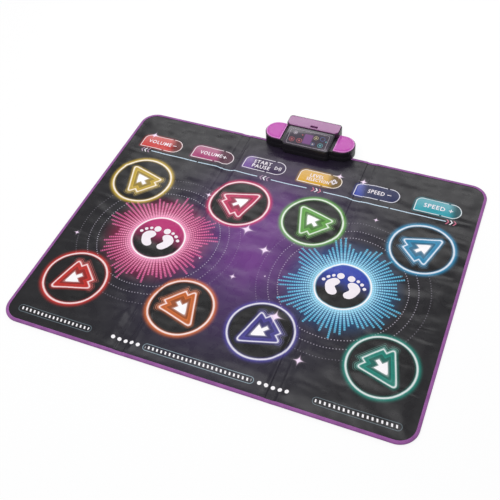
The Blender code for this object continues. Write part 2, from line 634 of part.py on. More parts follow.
def build_display():
    """The smoked window and the light board under it."""
    window = slope_plate(BLOCK_HALF_WIDTH - WINDOW_MARGIN, (WINDOW_MARGIN, WINDOW_MARGIN),
                         -WINDOW_THICKNESS / 2 + GAP, WINDOW_THICKNESS / 2 + GAP, WINDOW_CORNER)
    done(window, "display_window", finish("display_window", (0.05, 0.04, 0.06), 0.08, alpha=0.5))
    board_top = -WALL - GAP
    board = slope_plate(BLOCK_HALF_WIDTH - BOARD_MARGIN, (BOARD_MARGIN, BOARD_MARGIN),
                        board_top - BOARD_THICKNESS, board_top, 0)
    lamp_margin = WINDOW_LEDGE + LAMP_MARGIN
    lamps = slope_plate(BLOCK_HALF_WIDTH - lamp_margin, (lamp_margin, lamp_margin),
                        board_top - BOARD_THICKNESS / 2, -WINDOW_THICKNESS / 2, 0)
    done(join(board, lamps), "display_board", finish("display_board", (0.03, 0.10, 0.05), 0.5))


def build_lenses():
    """The two light covers on the console's ends."""
    for side, label in ((-1, "left"), (1, "right")):
        plate = prism("lens", lens_outline(side, 0), DECK_Z + GAP, DECK_Z + GAP + LENS_THICKNESS)
        done(plate, f"{label}_light_lens", finish("light_lens", MAGENTA, 0.2))


def build_phone_rest():
    """The flap that stands up behind a phone, and the pin it turns on."""
    plan = rounded((-REST_HALF_WIDTH, REST_FRONT_Y), (REST_HALF_WIDTH, REST_BACK_Y), (REST_CORNER,) * 4)
    flap = prism("flap", plan, REST_BOTTOM_Z, REST_TOP_Z)
    radius = REST_THICKNESS / 2
    profile = [(REST_FRONT_Y - PAST, REST_BOTTOM_Z)]
    for step in range(2 * ARC_STEPS + 1):
        turn = math.radians(-90 + 90 * step / ARC_STEPS)
        profile.append((REST_AXIS_Y + radius * math.cos(turn), REST_AXIS_Z + radius * math.sin(turn)))
    profile.append((REST_FRONT_Y + radius, REST_TOP_Z))
    profile.append((REST_FRONT_Y, REST_TOP_Z - radius / 2))
    profile.append((REST_FRONT_Y - PAST, REST_TOP_Z - radius / 2))
    combine(flap, (side_prism("profile", profile, REST_HALF_WIDTH + PAST),), "INTERSECT")
    slot_y = REST_FRONT_Y + FINGER_SLOT_SETBACK
    slot = block("slot", (FINGER_SLOT_X - FINGER_SLOT[0] / 2, slot_y, REST_BOTTOM_Z - PAST),
                 (FINGER_SLOT_X + FINGER_SLOT[0] / 2, slot_y + FINGER_SLOT[1], REST_TOP_Z + PAST))
    bore = cylinder("bore", REST_PIN_RADIUS + GAP, (REST_AXIS_Y, REST_AXIS_Z),
                    -REST_HALF_WIDTH - PAST, REST_HALF_WIDTH + PAST, SMALL_SIDES, "X")
    cut(flap, slot, bore)
    pivot = (0, REST_AXIS_Y, REST_AXIS_Z)
    done(flap, "phone_rest", finish("phone_rest", MAGENTA, 0.15), pivot)
    pin = cylinder("pin", REST_PIN_RADIUS, (REST_AXIS_Y, REST_AXIS_Z),
                   -REST_PIN_HALF_LENGTH, REST_PIN_HALF_LENGTH, SMALL_SIDES, "X")
    done(pin, "phone_rest_pin", finish("steel", (0.6, 0.6, 0.62), 0.25, 1.0))


def build_power():
    """The battery door, the cells and their contact carriers."""
    back = REAR_BACK_Y
    door = block("door", (-DOOR_HALF_WIDTH, BAY_FRONT_Y, CONSOLE_Z), (DOOR_HALF_WIDTH, back, DOOR_TOP_Z))
    lip = DOOR_HALF_WIDTH + DOOR_LIP
    join(door, block("lip", (-lip, BAY_FRONT_Y, DOOR_TOP_Z - DOOR_LIP_THICKNESS), (lip, back, DOOR_TOP_Z)))
    done(door, "battery_door", finish("battery_door", BLACK_PLASTIC, 0.5), (0, back, CONSOLE_Z))
    for number in range(CELL_COUNT):
        y = BAY_FRONT_Y + CELL_RADIUS + number * CELL_PITCH
        cell = cylinder("cell", CELL_RADIUS, (y, CELL_Z), -CELL_LENGTH / 2, CELL_LENGTH / 2, axis="X")
        done(cell, f"battery_{number + 1}", finish("battery", (0.10, 0.10, 0.11), 0.3, 0.6))
    for side, label in ((-1, "left"), (1, "right")):
        across = sorted((side * CONTACT_X, side * (CONTACT_X + CONTACT_THICKNESS)))
        carrier = block("carrier", (across[0], BAY_FRONT_Y, DOOR_TOP_Z + GAP),
                        (across[1], BAY_BACK_Y, SPLIT_Z - GAP))
        done(carrier, f"{label}_battery_contact", finish("battery_contact", (0.55, 0.53, 0.50), 0.3, 0.8))


def switch_slot_heights():
    """The lowest and highest edge of the power switch's slot."""
    middle = (FLOOR_TOP_Z + SPLIT_Z) / 2
    return middle - SWITCH_KNOB[1] / 2 - GAP, middle + SWITCH_KNOB[1] / 2 + GAP


def build_switch():
    """The sliding power switch on the console's back wall."""
    inner = REAR_BACK_Y - WALL - GAP
    flange = inner - SWITCH_FLANGE
    middle = sum(switch_slot_heights()) / 2
    half_width, half_height = SWITCH_KNOB[0] / 2, SWITCH_KNOB[1] / 2
    knob = block("knob", (SWITCH_X - half_width, flange, middle - half_height),
                 (SWITCH_X + half_width, REAR_BACK_Y + SWITCH_PROUD, middle + half_height))
    wide, tall = half_width + SWITCH_FLANGE, half_height + SWITCH_FLANGE
    join(knob, block("flange", (SWITCH_X - wide, flange, middle - tall),
                     (SWITCH_X + wide, inner, middle + tall)))
    done(knob, "power_switch_knob", finish("switch_knob", (0.02, 0.02, 0.022), 0.4),
         (SWITCH_X, inner, middle))
    body = block("body", (SWITCH_X - SWITCH_BODY[0], flange - GAP - SWITCH_BODY[1], FLOOR_TOP_Z + GAP),
                 (SWITCH_X + SWITCH_BODY[0] + SWITCH_TRAVEL, flange - GAP, SPLIT_Z))
    done(body, "power_switch_body", finish("switch_body", (0.35, 0.35, 0.36), 0.35, 0.7))


def build_speaker():
    """The loudspeaker that faces down over the grille: rim, cone basket and magnet in one turning."""
    foot = FLOOR_TOP_Z + GAP
    profile = ((0, 0), (SPEAKER_RADIUS, 0), (SPEAKER_RADIUS, SPEAKER_RIM_HEIGHT),
               (SPEAKER_MAGNET_RADIUS, SPEAKER_BASKET_HEIGHT), (SPEAKER_MAGNET_RADIUS, SPEAKER_HEIGHT),
               (0, SPEAKER_HEIGHT))
    shape = bmesh.new()
    rings = []
    for radius, height in profile:
        turns = [2 * math.pi * step / ROUND_SIDES for step in range(ROUND_SIDES if radius else 1)]
        rings.append([shape.verts.new((radius * math.cos(turn) - LOBE_CENTRE_X,
                                       LOBE_Y + radius * math.sin(turn), foot + height)) for turn in turns])
    for lower, upper in zip(rings, rings[1:]):
        for step in range(ROUND_SIDES):
            after = (step + 1) % ROUND_SIDES
            corners = [lower[step % len(lower)], lower[after % len(lower)],
                       upper[after % len(upper)], upper[step % len(upper)]]
            shape.faces.new(list(dict.fromkeys(corners)))
    done(add_object("speaker", shape), "speaker", finish("speaker", (0.05, 0.05, 0.055), 0.5, 0.4))


def screw(name, place, head_low, tip_z):
    """A screw as one solid: a round head and a shank, along Z."""
    middle = head_low + SCREW_HEAD_HEIGHT / 2
    head = cylinder("head", SCREW_HEAD_RADIUS, place, head_low, head_low + SCREW_HEAD_HEIGHT, SMALL_SIDES)
    shank = cylinder("shank", SCREW_RADIUS, place, min(tip_z, middle), max(tip_z, middle), SMALL_SIDES)
    done(join(head, shank), name, finish("steel", (0.55, 0.55, 0.57), 0.3, 1.0))


def build_fixings():
    """The clamp plate, the ribbon, the screws and the console's feet."""
    half = (CLAMP_SIZE[0] / 2, CLAMP_SIZE[1] / 2)
    plate = block("plate", (-half[0], CLAMP_Y - half[1], FOAM_Z), (half[0], CLAMP_Y + half[1], TOP_Z - GAP))
    cut(plate, *clamp_hole_cutters(FOAM_Z - PAST, TOP_Z + PAST))
    done(plate, "clamp_plate", finish("clamp_plate", (0.5, 0.5, 0.52), 0.4, 0.9))
    for number, x in enumerate(CLAMP_SCREW_X, 1):
        screw(f"clamp_screw_{number}", (x, CLAMP_Y), FLOOR_TOP_Z + GAP, FOAM_Z + CLAMP_SCREW_LIFT)
    for x, label in ((-HOUSING_SCREW_X, "left"), (HOUSING_SCREW_X, "right")):
        screw(f"{label}_housing_screw", (x, HOUSING_SCREW_Y), CONSOLE_Z + SCREW_HEAD_SINK - GAP,
              SPLIT_Z + GAP + HOUSING_SCREW_REACH)

    board = block("board", (-MAIN_BOARD[0] / 2, MAIN_BOARD_Y - MAIN_BOARD[1] / 2, BOARD_Z),
                  (MAIN_BOARD[0] / 2, MAIN_BOARD_Y + MAIN_BOARD[1] / 2, BOARD_Z + BOARD_THICKNESS))
    done(board, "main_board", finish("main_board", (0.02, 0.14, 0.06), 0.45))
    ribbon_low = FOAM_Z
    ribbon_high = BOARD_Z + BOARD_THICKNESS + GAP
    front, rise = RIBBON_Y - RIBBON_FOOT, RIBBON_Y
    end = MAIN_BOARD_Y - MAIN_BOARD[1] / 2 + RIBBON_LAP
    thick = RIBBON_THICKNESS
    path = ((front, ribbon_low), (rise + thick, ribbon_low), (rise + thick, ribbon_high),
            (end, ribbon_high), (end, ribbon_high + thick), (rise, ribbon_high + thick),
            (rise, ribbon_low + thick), (front, ribbon_low + thick))
    ribbon = side_prism("ribbon", path, RIBBON_WIDTH / 2)
    done(ribbon, "ribbon_tail", finish("ribbon", (0.60, 0.50, 0.30), 0.35))
    for x, label in ((-FOOT_X, "left"), (FOOT_X, "right")):
        foot = cylinder("foot", FOOT_RADIUS, (x, FOOT_Y), 0, CONSOLE_Z - GAP)
        done(foot, f"{label}_console_foot", finish("rubber", (0.015, 0.015, 0.016), 0.85))


def main():
    """Build the whole mat and console."""
    clear_scene()
    for side, label in ((-1, "left"), (0, "centre"), (1, "right")):
        build_panel(side, label)
    for side, label in ((-1, "left"), (1, "right")):
        build_side_binding(side, label)
        build_fold_band(side, label)
    build_centre_binding(-1, "front")
    build_centre_binding(1, "back")
    build_pads()
    build_lower_housing()
    build_upper_housing()
    build_display()
    build_lenses()
    build_phone_rest()
    build_power()
    build_switch()
    build_speaker()
    build_fixings()


main()
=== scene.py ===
"""Looks of a foldable dance mat with a battery console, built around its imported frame.

Sizes are in metres, in the frame's own axes: +X to the dancers' right, +Y towards the console, +Z up.
The origin is the centre of the mat's underside, on the floor.
"""
import sys

import json
import logging
import math
from contextlib import contextmanager
from dataclasses import dataclass
from enum import Enum
from typing import Callable, Iterator, Sequence

import bmesh
import bpy
import numpy as np
from mathutils import Matrix, Quaternion, Vector


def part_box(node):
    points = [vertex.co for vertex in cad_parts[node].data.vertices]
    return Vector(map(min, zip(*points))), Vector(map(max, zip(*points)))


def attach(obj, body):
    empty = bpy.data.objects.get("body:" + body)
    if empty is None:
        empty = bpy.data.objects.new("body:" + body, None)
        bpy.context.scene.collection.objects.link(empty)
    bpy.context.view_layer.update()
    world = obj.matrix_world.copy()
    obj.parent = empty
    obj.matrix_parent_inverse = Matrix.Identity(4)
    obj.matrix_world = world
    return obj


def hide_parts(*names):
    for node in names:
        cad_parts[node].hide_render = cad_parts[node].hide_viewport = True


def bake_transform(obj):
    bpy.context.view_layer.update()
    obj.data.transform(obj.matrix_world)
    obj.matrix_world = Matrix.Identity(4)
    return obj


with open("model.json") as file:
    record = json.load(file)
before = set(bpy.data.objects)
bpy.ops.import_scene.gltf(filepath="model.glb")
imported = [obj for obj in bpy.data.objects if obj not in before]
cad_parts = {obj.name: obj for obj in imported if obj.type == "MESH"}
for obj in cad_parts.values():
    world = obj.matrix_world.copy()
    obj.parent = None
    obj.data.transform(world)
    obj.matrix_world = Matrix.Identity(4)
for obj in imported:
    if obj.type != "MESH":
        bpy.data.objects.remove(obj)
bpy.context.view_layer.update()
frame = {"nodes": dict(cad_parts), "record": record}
LOG = logging.getLogger("dance_mat")

Colour = tuple[float, float, float]
Item = bpy.types.Object
Spot = Sequence[float]

# Points closer together than this are one point
TINY = 1e-6
# How far a cutting block reaches above and below the floor
BLOCK_REACH = 0.05
# The longest edge in a print that follows the vinyl
DRAPE_STEP = 0.007


def middle(node: str) -> Vector:
    """The centre of a CAD node's box."""
    low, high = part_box(node)
    return (low + high) / 2


def srgb(red: int, green: int, blue: int) -> Colour:
    """A colour as it shows on a screen, turned into the linear one that a shader takes."""
    return tuple((c / 255 / 12.92) if c <= 10 else ((c / 255 + 0.055) / 1.055) ** 2.4
                 for c in (red, green, blue))


def smooth(value: np.ndarray, start: float, end: float) -> np.ndarray:
    """A smooth rise from 0 at start to 1 at end, or a fall where end is the smaller."""
    share = np.clip((np.asarray(value, float) - start) / (end - start), 0, 1)
    return share * share * (3 - 2 * share)


# Places that the frame gives
MAT_HALF_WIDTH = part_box("right_binding")[1].x
MAT_HALF_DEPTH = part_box("right_binding")[1].y
SURFACE_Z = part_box("centre_top_sheet")[1].z
HEM_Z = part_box("left_binding")[1].z
CREASE_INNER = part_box("right_fold_band")[0].x
CREASE_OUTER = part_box("right_fold_band")[1].x
BAND_MIDDLE = (CREASE_INNER + CREASE_OUTER) / 2
PAD_X = (middle("back_right_arrow_pad").x, middle("back_far_right_arrow_pad").x)
PAD_Y = (middle("front_right_arrow_pad").y, middle("back_right_arrow_pad").y)
CONTROL_Y = middle("volume_up_pad").y
BURST_PLACES = ((-0.2985, -0.0590), (0.2845, -0.0510))
SIDE_SHIFT = 0.0068


# ---------------------------------------------------------------------------------------------
# Modelling tools


def deselect() -> None:
    """Deselect every object."""
    bpy.ops.object.select_all(action="DESELECT")


def activate(item: Item) -> None:
    """Make one object the only selected one, and the active one.

    Args:
        item: the object.
    """
    deselect()
    item.select_set(True)
    bpy.context.view_layer.objects.active = item


@contextmanager
def editing(item: Item) -> Iterator[None]:
    """Keep an object in edit mode, with all of it selected at first, for a with block.

    Args:
        item: the object.

    Yields:
        Nothing, while the object is in edit mode.
    """
    activate(item)
    bpy.ops.object.mode_set(mode="EDIT")
    bpy.ops.mesh.select_all(action="SELECT")
    yield
    bpy.ops.object.mode_set(mode="OBJECT")


def linked(name: str, data: bpy.types.ID) -> Item:
    """A new object in the scene that shows a mesh or a curve.

    Args:
        name: the object's name.
        data: what it shows.

    Returns:
        The object.
    """
    item = bpy.data.objects.new(name, data)
    bpy.context.collection.objects.link(item)
    return item


def added(resize: Spot = (1, 1, 1)) -> Item:
    """Take the primitive that was just added, stretch it in its mesh and put its place in its mesh.

    Args:
        resize: how far it is stretched along each axis.

    Returns:
        The primitive.
    """
    item = bpy.context.active_object
    activate(item)
    item.scale = resize
    bpy.ops.object.transform_apply(location=True, rotation=True, scale=True)
    return item


def cube(low: Spot, high: Spot) -> Item:
    """A cube primitive stretched between two corners.

    Args:
        low: the lowest corner.
        high: the highest corner.

    Returns:
        The cube.
    """
    centre = [(a + b) / 2 for a, b in zip(low, high)]
    bpy.ops.mesh.primitive_cube_add(size=1, location=centre)
    return added([b - a for a, b in zip(low, high)])


def cylinder(radius: float, place: Spot, depth: float, sides: int = 96) -> Item:
    """An upright cylinder primitive about its centre."""
    bpy.ops.mesh.primitive_cylinder_add(vertices=sides, radius=radius, depth=depth, location=place)
    return added()


def select_edges(item: Item, test: Callable[[bmesh.types.BMEdge], bool]) -> int:
    """In edit mode, select the edges that pass a test, and say how many do.

    Args:
        item: the piece.
        test: says whether an edge is wanted.

    Returns:
        How many edges pass.
    """
    bpy.ops.mesh.select_mode(type="EDGE")
    shape = bmesh.from_edit_mesh(item.data)
    found = 0
    for edge in shape.edges:
        edge.select_set(bool(test(edge)))
        found += edge.select
    shape.select_flush_mode()
    bmesh.update_edit_mesh(item.data)
    return found


def select_faces(item: Item, test: Callable[[bmesh.types.BMFace], bool]) -> None:
    """In edit mode, select the faces that pass a test.

    Args:
        item: the piece.
        test: says whether a face is wanted.
    """
    bpy.ops.mesh.select_mode(type="FACE")
    shape = bmesh.from_edit_mesh(item.data)
    shape.normal_update()
    for face in shape.faces:
        face.select_set(bool(test(face)))
    bmesh.update_edit_mesh(item.data)


def upright(edge: bmesh.types.BMEdge) -> bool:
    """Whether an edge stands along Z."""
    across = edge.verts[0].co - edge.verts[1].co
    return Vector((across.x, across.y)).length < TINY


def round_edges(item: Item, width: float, segments: int,
                test: Callable[[bmesh.types.BMEdge], bool]) -> None:
    """Bevel the edges that pass a test.

    Args:
        item: the piece.
        width: how far each edge is cut back.
        segments: how many faces take its place.
        test: says whether an edge is rounded.
    """
    with editing(item):
        if select_edges(item, test):
            bpy.ops.mesh.bevel(offset=width, segments=segments, affect="EDGES", clamp_overlap=True)


def apply_modifier(item: Item, kind: str, **settings: object) -> None:
    """Add a modifier with these settings and apply it.

    Args:
        item: the piece.
        kind: the modifier's type.
        settings: its options, by name.
    """
    activate(item)
    modifier = item.modifiers.new(kind.title(), kind)
    for key, value in settings.items():
        setattr(modifier, key, value)
    bpy.ops.object.modifier_apply(modifier=modifier.name)


class Boolean(Enum):
    """What becomes of a piece and a tool that cross."""

    CUT = "DIFFERENCE"
    KEEP = "INTERSECT"
    JOIN = "UNION"


def carve(item: Item, tool: Item, operation: Boolean = Boolean.CUT) -> None:
    """Cut a tool out of a piece, keep what both hold or join them, and delete the tool."""
    apply_modifier(item, "BOOLEAN", operation=operation.value, solver="EXACT", object=tool)
    bpy.data.objects.remove(tool, do_unlink=True)


def merged(items: Sequence[Item]) -> Item:
    """Join objects into the first of them.

    Args:
        items: the objects.

    Returns:
        The one that is left.
    """
    deselect()
    for item in items:
        item.select_set(True)
    bpy.context.view_layer.objects.active = items[0]
    if len(items) > 1:
        bpy.ops.object.join()
    return items[0]


def as_mesh(item: Item) -> Item:
    """Turn a curve or text object into a closed mesh with its place in the mesh.

    Args:
        item: the curve or text.

    Returns:
        The same object, as a mesh.
    """
    activate(item)
    bpy.ops.object.convert(target="MESH")
    bpy.ops.object.transform_apply(location=True, rotation=True, scale=True)
    with editing(item):
        bpy.ops.mesh.remove_doubles(threshold=TINY)
        bpy.ops.mesh.normals_make_consistent(inside=False)
    return item


def divide_long(item: Item, longest: float, rounds: int = 4) -> None:
    """Subdivide every edge longer than a limit, so that a flat shape can drape.

    Args:
        item: the piece.
        longest: the longest edge that may stay.
        rounds: how many times the edges are halved at most.
    """
    with editing(item):
        for _ in range(rounds):
            if not select_edges(item, lambda edge: edge.calc_length() > longest):
                break
            bpy.ops.mesh.subdivide(number_cuts=1)
        bpy.ops.mesh.select_all(action="SELECT")
        bpy.ops.mesh.quads_convert_to_tris()


def divide_at(item: Item, places: Sequence[float]) -> None:
    """Cut a mesh's faces along lines at these places across the mat.

    Args:
        item: the piece.
        places: where along X it is cut.
    """
    with editing(item):
        for place in places:
            bpy.ops.mesh.select_all(action="SELECT")
            bpy.ops.mesh.bisect(plane_co=(place, 0, 0), plane_no=(1, 0, 0))


def finish_piece(item: Item, name: str, material: bpy.types.Material, angle: float = 40.0) -> None:
    """Name a piece, give it its material and shade it smooth up to an angle in degrees.

    Args:
        item: the piece.
        name: its name.
        material: its material.
        angle: the sharpest turn that is shaded smooth.
    """
    activate(item)
    item.name = name
    item.data.name = name
    item.data.materials.clear()
    item.data.materials.append(material)
    bpy.ops.object.shade_smooth_by_angle(angle=math.radians(angle))
    LOG.info("%s: %d faces", name, len(item.data.polygons))


def move_points(item: Item, rule: Callable[[np.ndarray], np.ndarray]) -> None:
    """Move a mesh's points by a rule on their coordinates.

    Args:
        item: the piece.
        rule: takes all the points and gives their new places.
    """
    points = np.zeros(len(item.data.vertices) * 3)
    item.data.vertices.foreach_get("co", points)
    item.data.vertices.foreach_set("co", rule(points.reshape(-1, 3)).ravel())
    item.data.update()


# ---------------------------------------------------------------------------------------------
# The mat's upper face


@dataclass(frozen=True)
class MatSurface:
    """How high the printed vinyl lies: padded panels, calm edges and foam-free fold bands."""

    ridge: float = 0.0016
    dip: float = 0.0019
    pinch: float = 0.0019
    # The size, the turns in a metre along X and Y and the start of each wave
    waves: tuple[tuple[float, float, float, float], ...] = (
        (0.0014, 2.3, 3.1, 0.0), (0.0013, -3.3, 4.9, 1.2), (0.0010, 7.1, 5.3, 2.1),
        (0.0006, 3.5, -12.2, 0.4), (0.0004, -11.0, -15.0, 1.7))
    # The place, slant and share of each short fold that runs in from the mat's side edges
    pinches: tuple[tuple[float, float, float], ...] = (
        (0.283, 0.10, 1.0), (0.206, -0.06, 0.9), (-0.118, 0.12, 0.9), (-0.163, -0.08, 0.5),
        (0.060, 0.15, 0.6), (-0.330, -0.1, 0.6))
    pinch_side: tuple[float, float] = (0.44, 0.56)
    pinch_width: float = 0.0045
    # How far each ridge lies from its crease, and its width
    inner_ridge: tuple[float, float] = (0.0125, 0.0065)
    outer_ridge: tuple[float, float] = (0.022, 0.012)
    outer_share: float = 0.40
    # Distances from the edge, and places where the vinyl is held flat
    hem: float = 0.014
    waves_full: float = 0.055
    rim_full: float = 0.035
    console_side: tuple[float, float] = (0.190, 0.166)
    console_front: tuple[float, float] = (0.385, 0.415)
    fold_sides: tuple[tuple[float, float], tuple[float, float]] = ((0.184, 0.203), (0.262, 0.240))

    def height(self, x: np.ndarray, y: np.ndarray) -> np.ndarray:
        """The height of the vinyl's upper face.

        Args:
            x: places across the mat.
            y: places along the mat.

        Returns:
            The heights above the floor.
        """
        side, turn = np.abs(x), 2 * np.pi
        lift = np.zeros_like(side)
        for size, across, along, start in self.waves:
            bend = 0.9 * np.sin(turn * (0.6 * along * y - 0.4 * across * x) + start)
            lift = lift + size * (1 + np.sin(turn * (across * x + along * y) + bend + start)) / 2
        edge = np.minimum(MAT_HALF_WIDTH - side, MAT_HALF_DEPTH - np.abs(y))
        inner, outer = self.fold_sides
        calm = smooth(edge, self.hem, self.waves_full)
        calm = calm * (1 - smooth(side, *self.console_side) * smooth(y, *self.console_front))
        calm = calm * (1 - smooth(side, *inner) * smooth(side, *outer))
        rim = smooth(edge, self.hem, self.rim_full)
        lift = lift * calm + self.ridge * self.crease_ridges(side, y) * rim * np.where(x < 0, 2.0, 1.0)
        for line, slant, share in self.pinches:
            place = line + slant * (side - 0.55) + 0.010 * np.sign(x) * (line > 0)
            crest = np.exp(-((y - place) / self.pinch_width) ** 2)
            fold = crest - 0.35 * np.exp(-((y - place - 0.012) / 0.006) ** 2)
            lift = lift + self.pinch * share * fold * smooth(side, *self.pinch_side) * rim
        lift = np.maximum(lift, 0)
        dip = smooth(side, CREASE_INNER - 0.0005, CREASE_INNER + 0.0025)
        dip = dip * (1 - smooth(side, CREASE_OUTER - 0.006, CREASE_OUTER - 0.0005))
        return SURFACE_Z + lift - self.dip * dip

    def crease_ridges(self, side: np.ndarray, y: np.ndarray) -> np.ndarray:
        """The ridges that the foam's edges raise beside each crease; the left ones stand higher.

        Args:
            side: distances from the mat's middle line.
            y: places along the mat.

        Returns:
            The ridges' heights, as shares of the highest.
        """
        swing = 0.75 + 0.25 * np.sin(2 * np.pi * 2.7 * y + 4 * side)
        (inner_off, inner_width), (outer_off, outer_width) = self.inner_ridge, self.outer_ridge
        inner = np.exp(-((side - CREASE_INNER + inner_off) / inner_width) ** 2)
        outer = self.outer_share * np.exp(-((side - CREASE_OUTER - outer_off) / outer_width) ** 2)
        console = 1 - smooth(y, 0.39, 0.42) * 0.8
        return (inner + outer) * swing * console

    def drape(self, item: Item, base: float = SURFACE_Z) -> None:
        """Carry a flat mesh that was made about one height onto the vinyl.

        Args:
            item: the piece.
            base: the height that it was made about.
        """
        def rule(points: np.ndarray) -> np.ndarray:
            """Lift each point as far as the vinyl is lifted there."""
            points[:, 2] += self.height(points[:, 0], points[:, 1]) - base
            return points
        move_points(item, rule)


SURFACE = MatSurface()


@dataclass(frozen=True)
class Zone:
    """A stretch of the mat that bends over one crease at most."""

    name: str
    low: float
    high: float
    bodies: tuple[str, str]
    crease: float
    replaced: str

    def bend(self, item: Item, margin: float = 0.004) -> None:
        """Bake a piece's transform into its mesh; it is not made to follow the zone's bodies over its
        crease.
        """
        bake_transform(item)


ZONES = (
    Zone("left", -MAT_HALF_WIDTH, -BAND_MIDDLE, ("left_panel", "left_band"), -CREASE_OUTER,
         "left_top_sheet"),
    Zone("centre_left", -BAND_MIDDLE, 0.0, ("left_band", "centre_panel"), -CREASE_INNER,
         "centre_top_sheet"),
    Zone("centre_right", 0.0, BAND_MIDDLE, ("centre_panel", "right_band"), CREASE_INNER,
         "centre_top_sheet"),
    Zone("right", BAND_MIDDLE, MAT_HALF_WIDTH, ("right_band", "right_panel"), CREASE_OUTER,
         "right_top_sheet"),
)
SIDE_ZONES = (ZONES[0], ZONES[3])


# ---------------------------------------------------------------------------------------------
# Material graphs


class Graph:
    """A material's node tree, with short calls for the nodes that the finishes share."""

    def __init__(self, name: str) -> None:
        """Start an empty node material.

        Args:
            name: the material's name.
        """
        self.material = bpy.data.materials.new(name)
        self.material.use_nodes = True
        self.nodes = self.material.node_tree.nodes
        self.links = self.material.node_tree.links
        self.nodes.clear()

    def feed(self, socket: bpy.types.NodeSocket, value: object) -> None:
        """Link a field to a socket, or set the socket to a number or colour.

        Args:
            socket: the node's input.
            value: a field, number or colour, or None to leave it.
        """
        if isinstance(value, Field):
            self.links.new(value.socket, socket)
        elif isinstance(value, (tuple, list)) and socket.type == "RGBA":
            socket.default_value = (*value, 1.0)
        elif value is not None:
            socket.default_value = value

    def node(self, kind: str, inputs: dict, output: int | str = 0, **settings: object) -> "Field":
        """Add a node, set its options, feed its inputs and return one output.

        Args:
            kind: the node's type.
            inputs: what each input is fed with.
            output: the output that is wanted.
            settings: the node's options, by name.

        Returns:
            The output, as a field.
        """
        made = self.nodes.new(kind)
        for key, value in settings.items():
            setattr(made, key, value)
        for key, value in inputs.items():
            self.feed(made.inputs[key], value)
        return Field(self, made.outputs[output])

    def place(self) -> "Field":
        """The piece's own Object coordinates."""
        return self.node("ShaderNodeTexCoord", {}, "Object")

    def axes(self) -> tuple["Field", "Field", "Field"]:
        """The three Object coordinates by themselves.

        Returns:
            X, Y and Z.
        """
        split = self.nodes.new("ShaderNodeSeparateXYZ")
        self.links.new(self.place().socket, split.inputs[0])
        return tuple(Field(self, split.outputs[i]) for i in range(3))

    def noise(self, scale: float, detail: float = 2.0, vector: "Field | None" = None,
              roughness: float = 0.5) -> "Field":
        """Noise from about 0.3 to 0.7 on Object coordinates."""
        return self.node("ShaderNodeTexNoise", {"Vector": vector or self.place(), "Scale": scale,
                                                "Detail": detail, "Roughness": roughness})

    def mix(self, share: object, first: object, second: object) -> "Field":
        """A colour between two colours."""
        return self.node("ShaderNodeMix", {0: share, 6: first, 7: second}, 2, data_type="RGBA")

    def choose(self, along: "Field", colours: Sequence[Colour], ends: Sequence[float]) -> "Field":
        """A colour ramp between two values: one colour from each stop on.

        Args:
            along: the value that chooses.
            colours: one colour for each stretch.
            ends: where each stretch starts, and where the last one ends.

        Returns:
            The chosen colour.
        """
        low, high = ends[0], ends[-1]
        share = (along - low) / (high - low)
        made = self.nodes.new("ShaderNodeValToRGB")
        ramp = made.color_ramp
        ramp.interpolation = "CONSTANT"
        while len(ramp.elements) < len(colours):
            ramp.elements.new(0.5)
        for element, place, colour in zip(ramp.elements, ends, colours):
            element.position = (place - low) / (high - low)
            element.color = (*colour, 1.0)
        self.feed(made.inputs[0], share)
        return Field(self, made.outputs[0])

    def bump(self, height: "Field", strength: float, distance: float) -> "Field":
        """A normal from a height pattern."""
        return self.node("ShaderNodeBump", {"Height": height, "Strength": strength, "Distance": distance})

    def surface(self, **inputs: object) -> bpy.types.Material:
        """End the graph in a Principled shader, whose sockets are named with _ for a space.

        Args:
            inputs: what each of the shader's sockets is fed with.

        Returns:
            The material.
        """
        shader = self.nodes.new("ShaderNodeBsdfPrincipled")
        for key, value in inputs.items():
            self.feed(shader.inputs[key.replace("_", " ")], value)
        output = self.nodes.new("ShaderNodeOutputMaterial")
        self.links.new(shader.outputs[0], output.inputs[0])
        return self.material


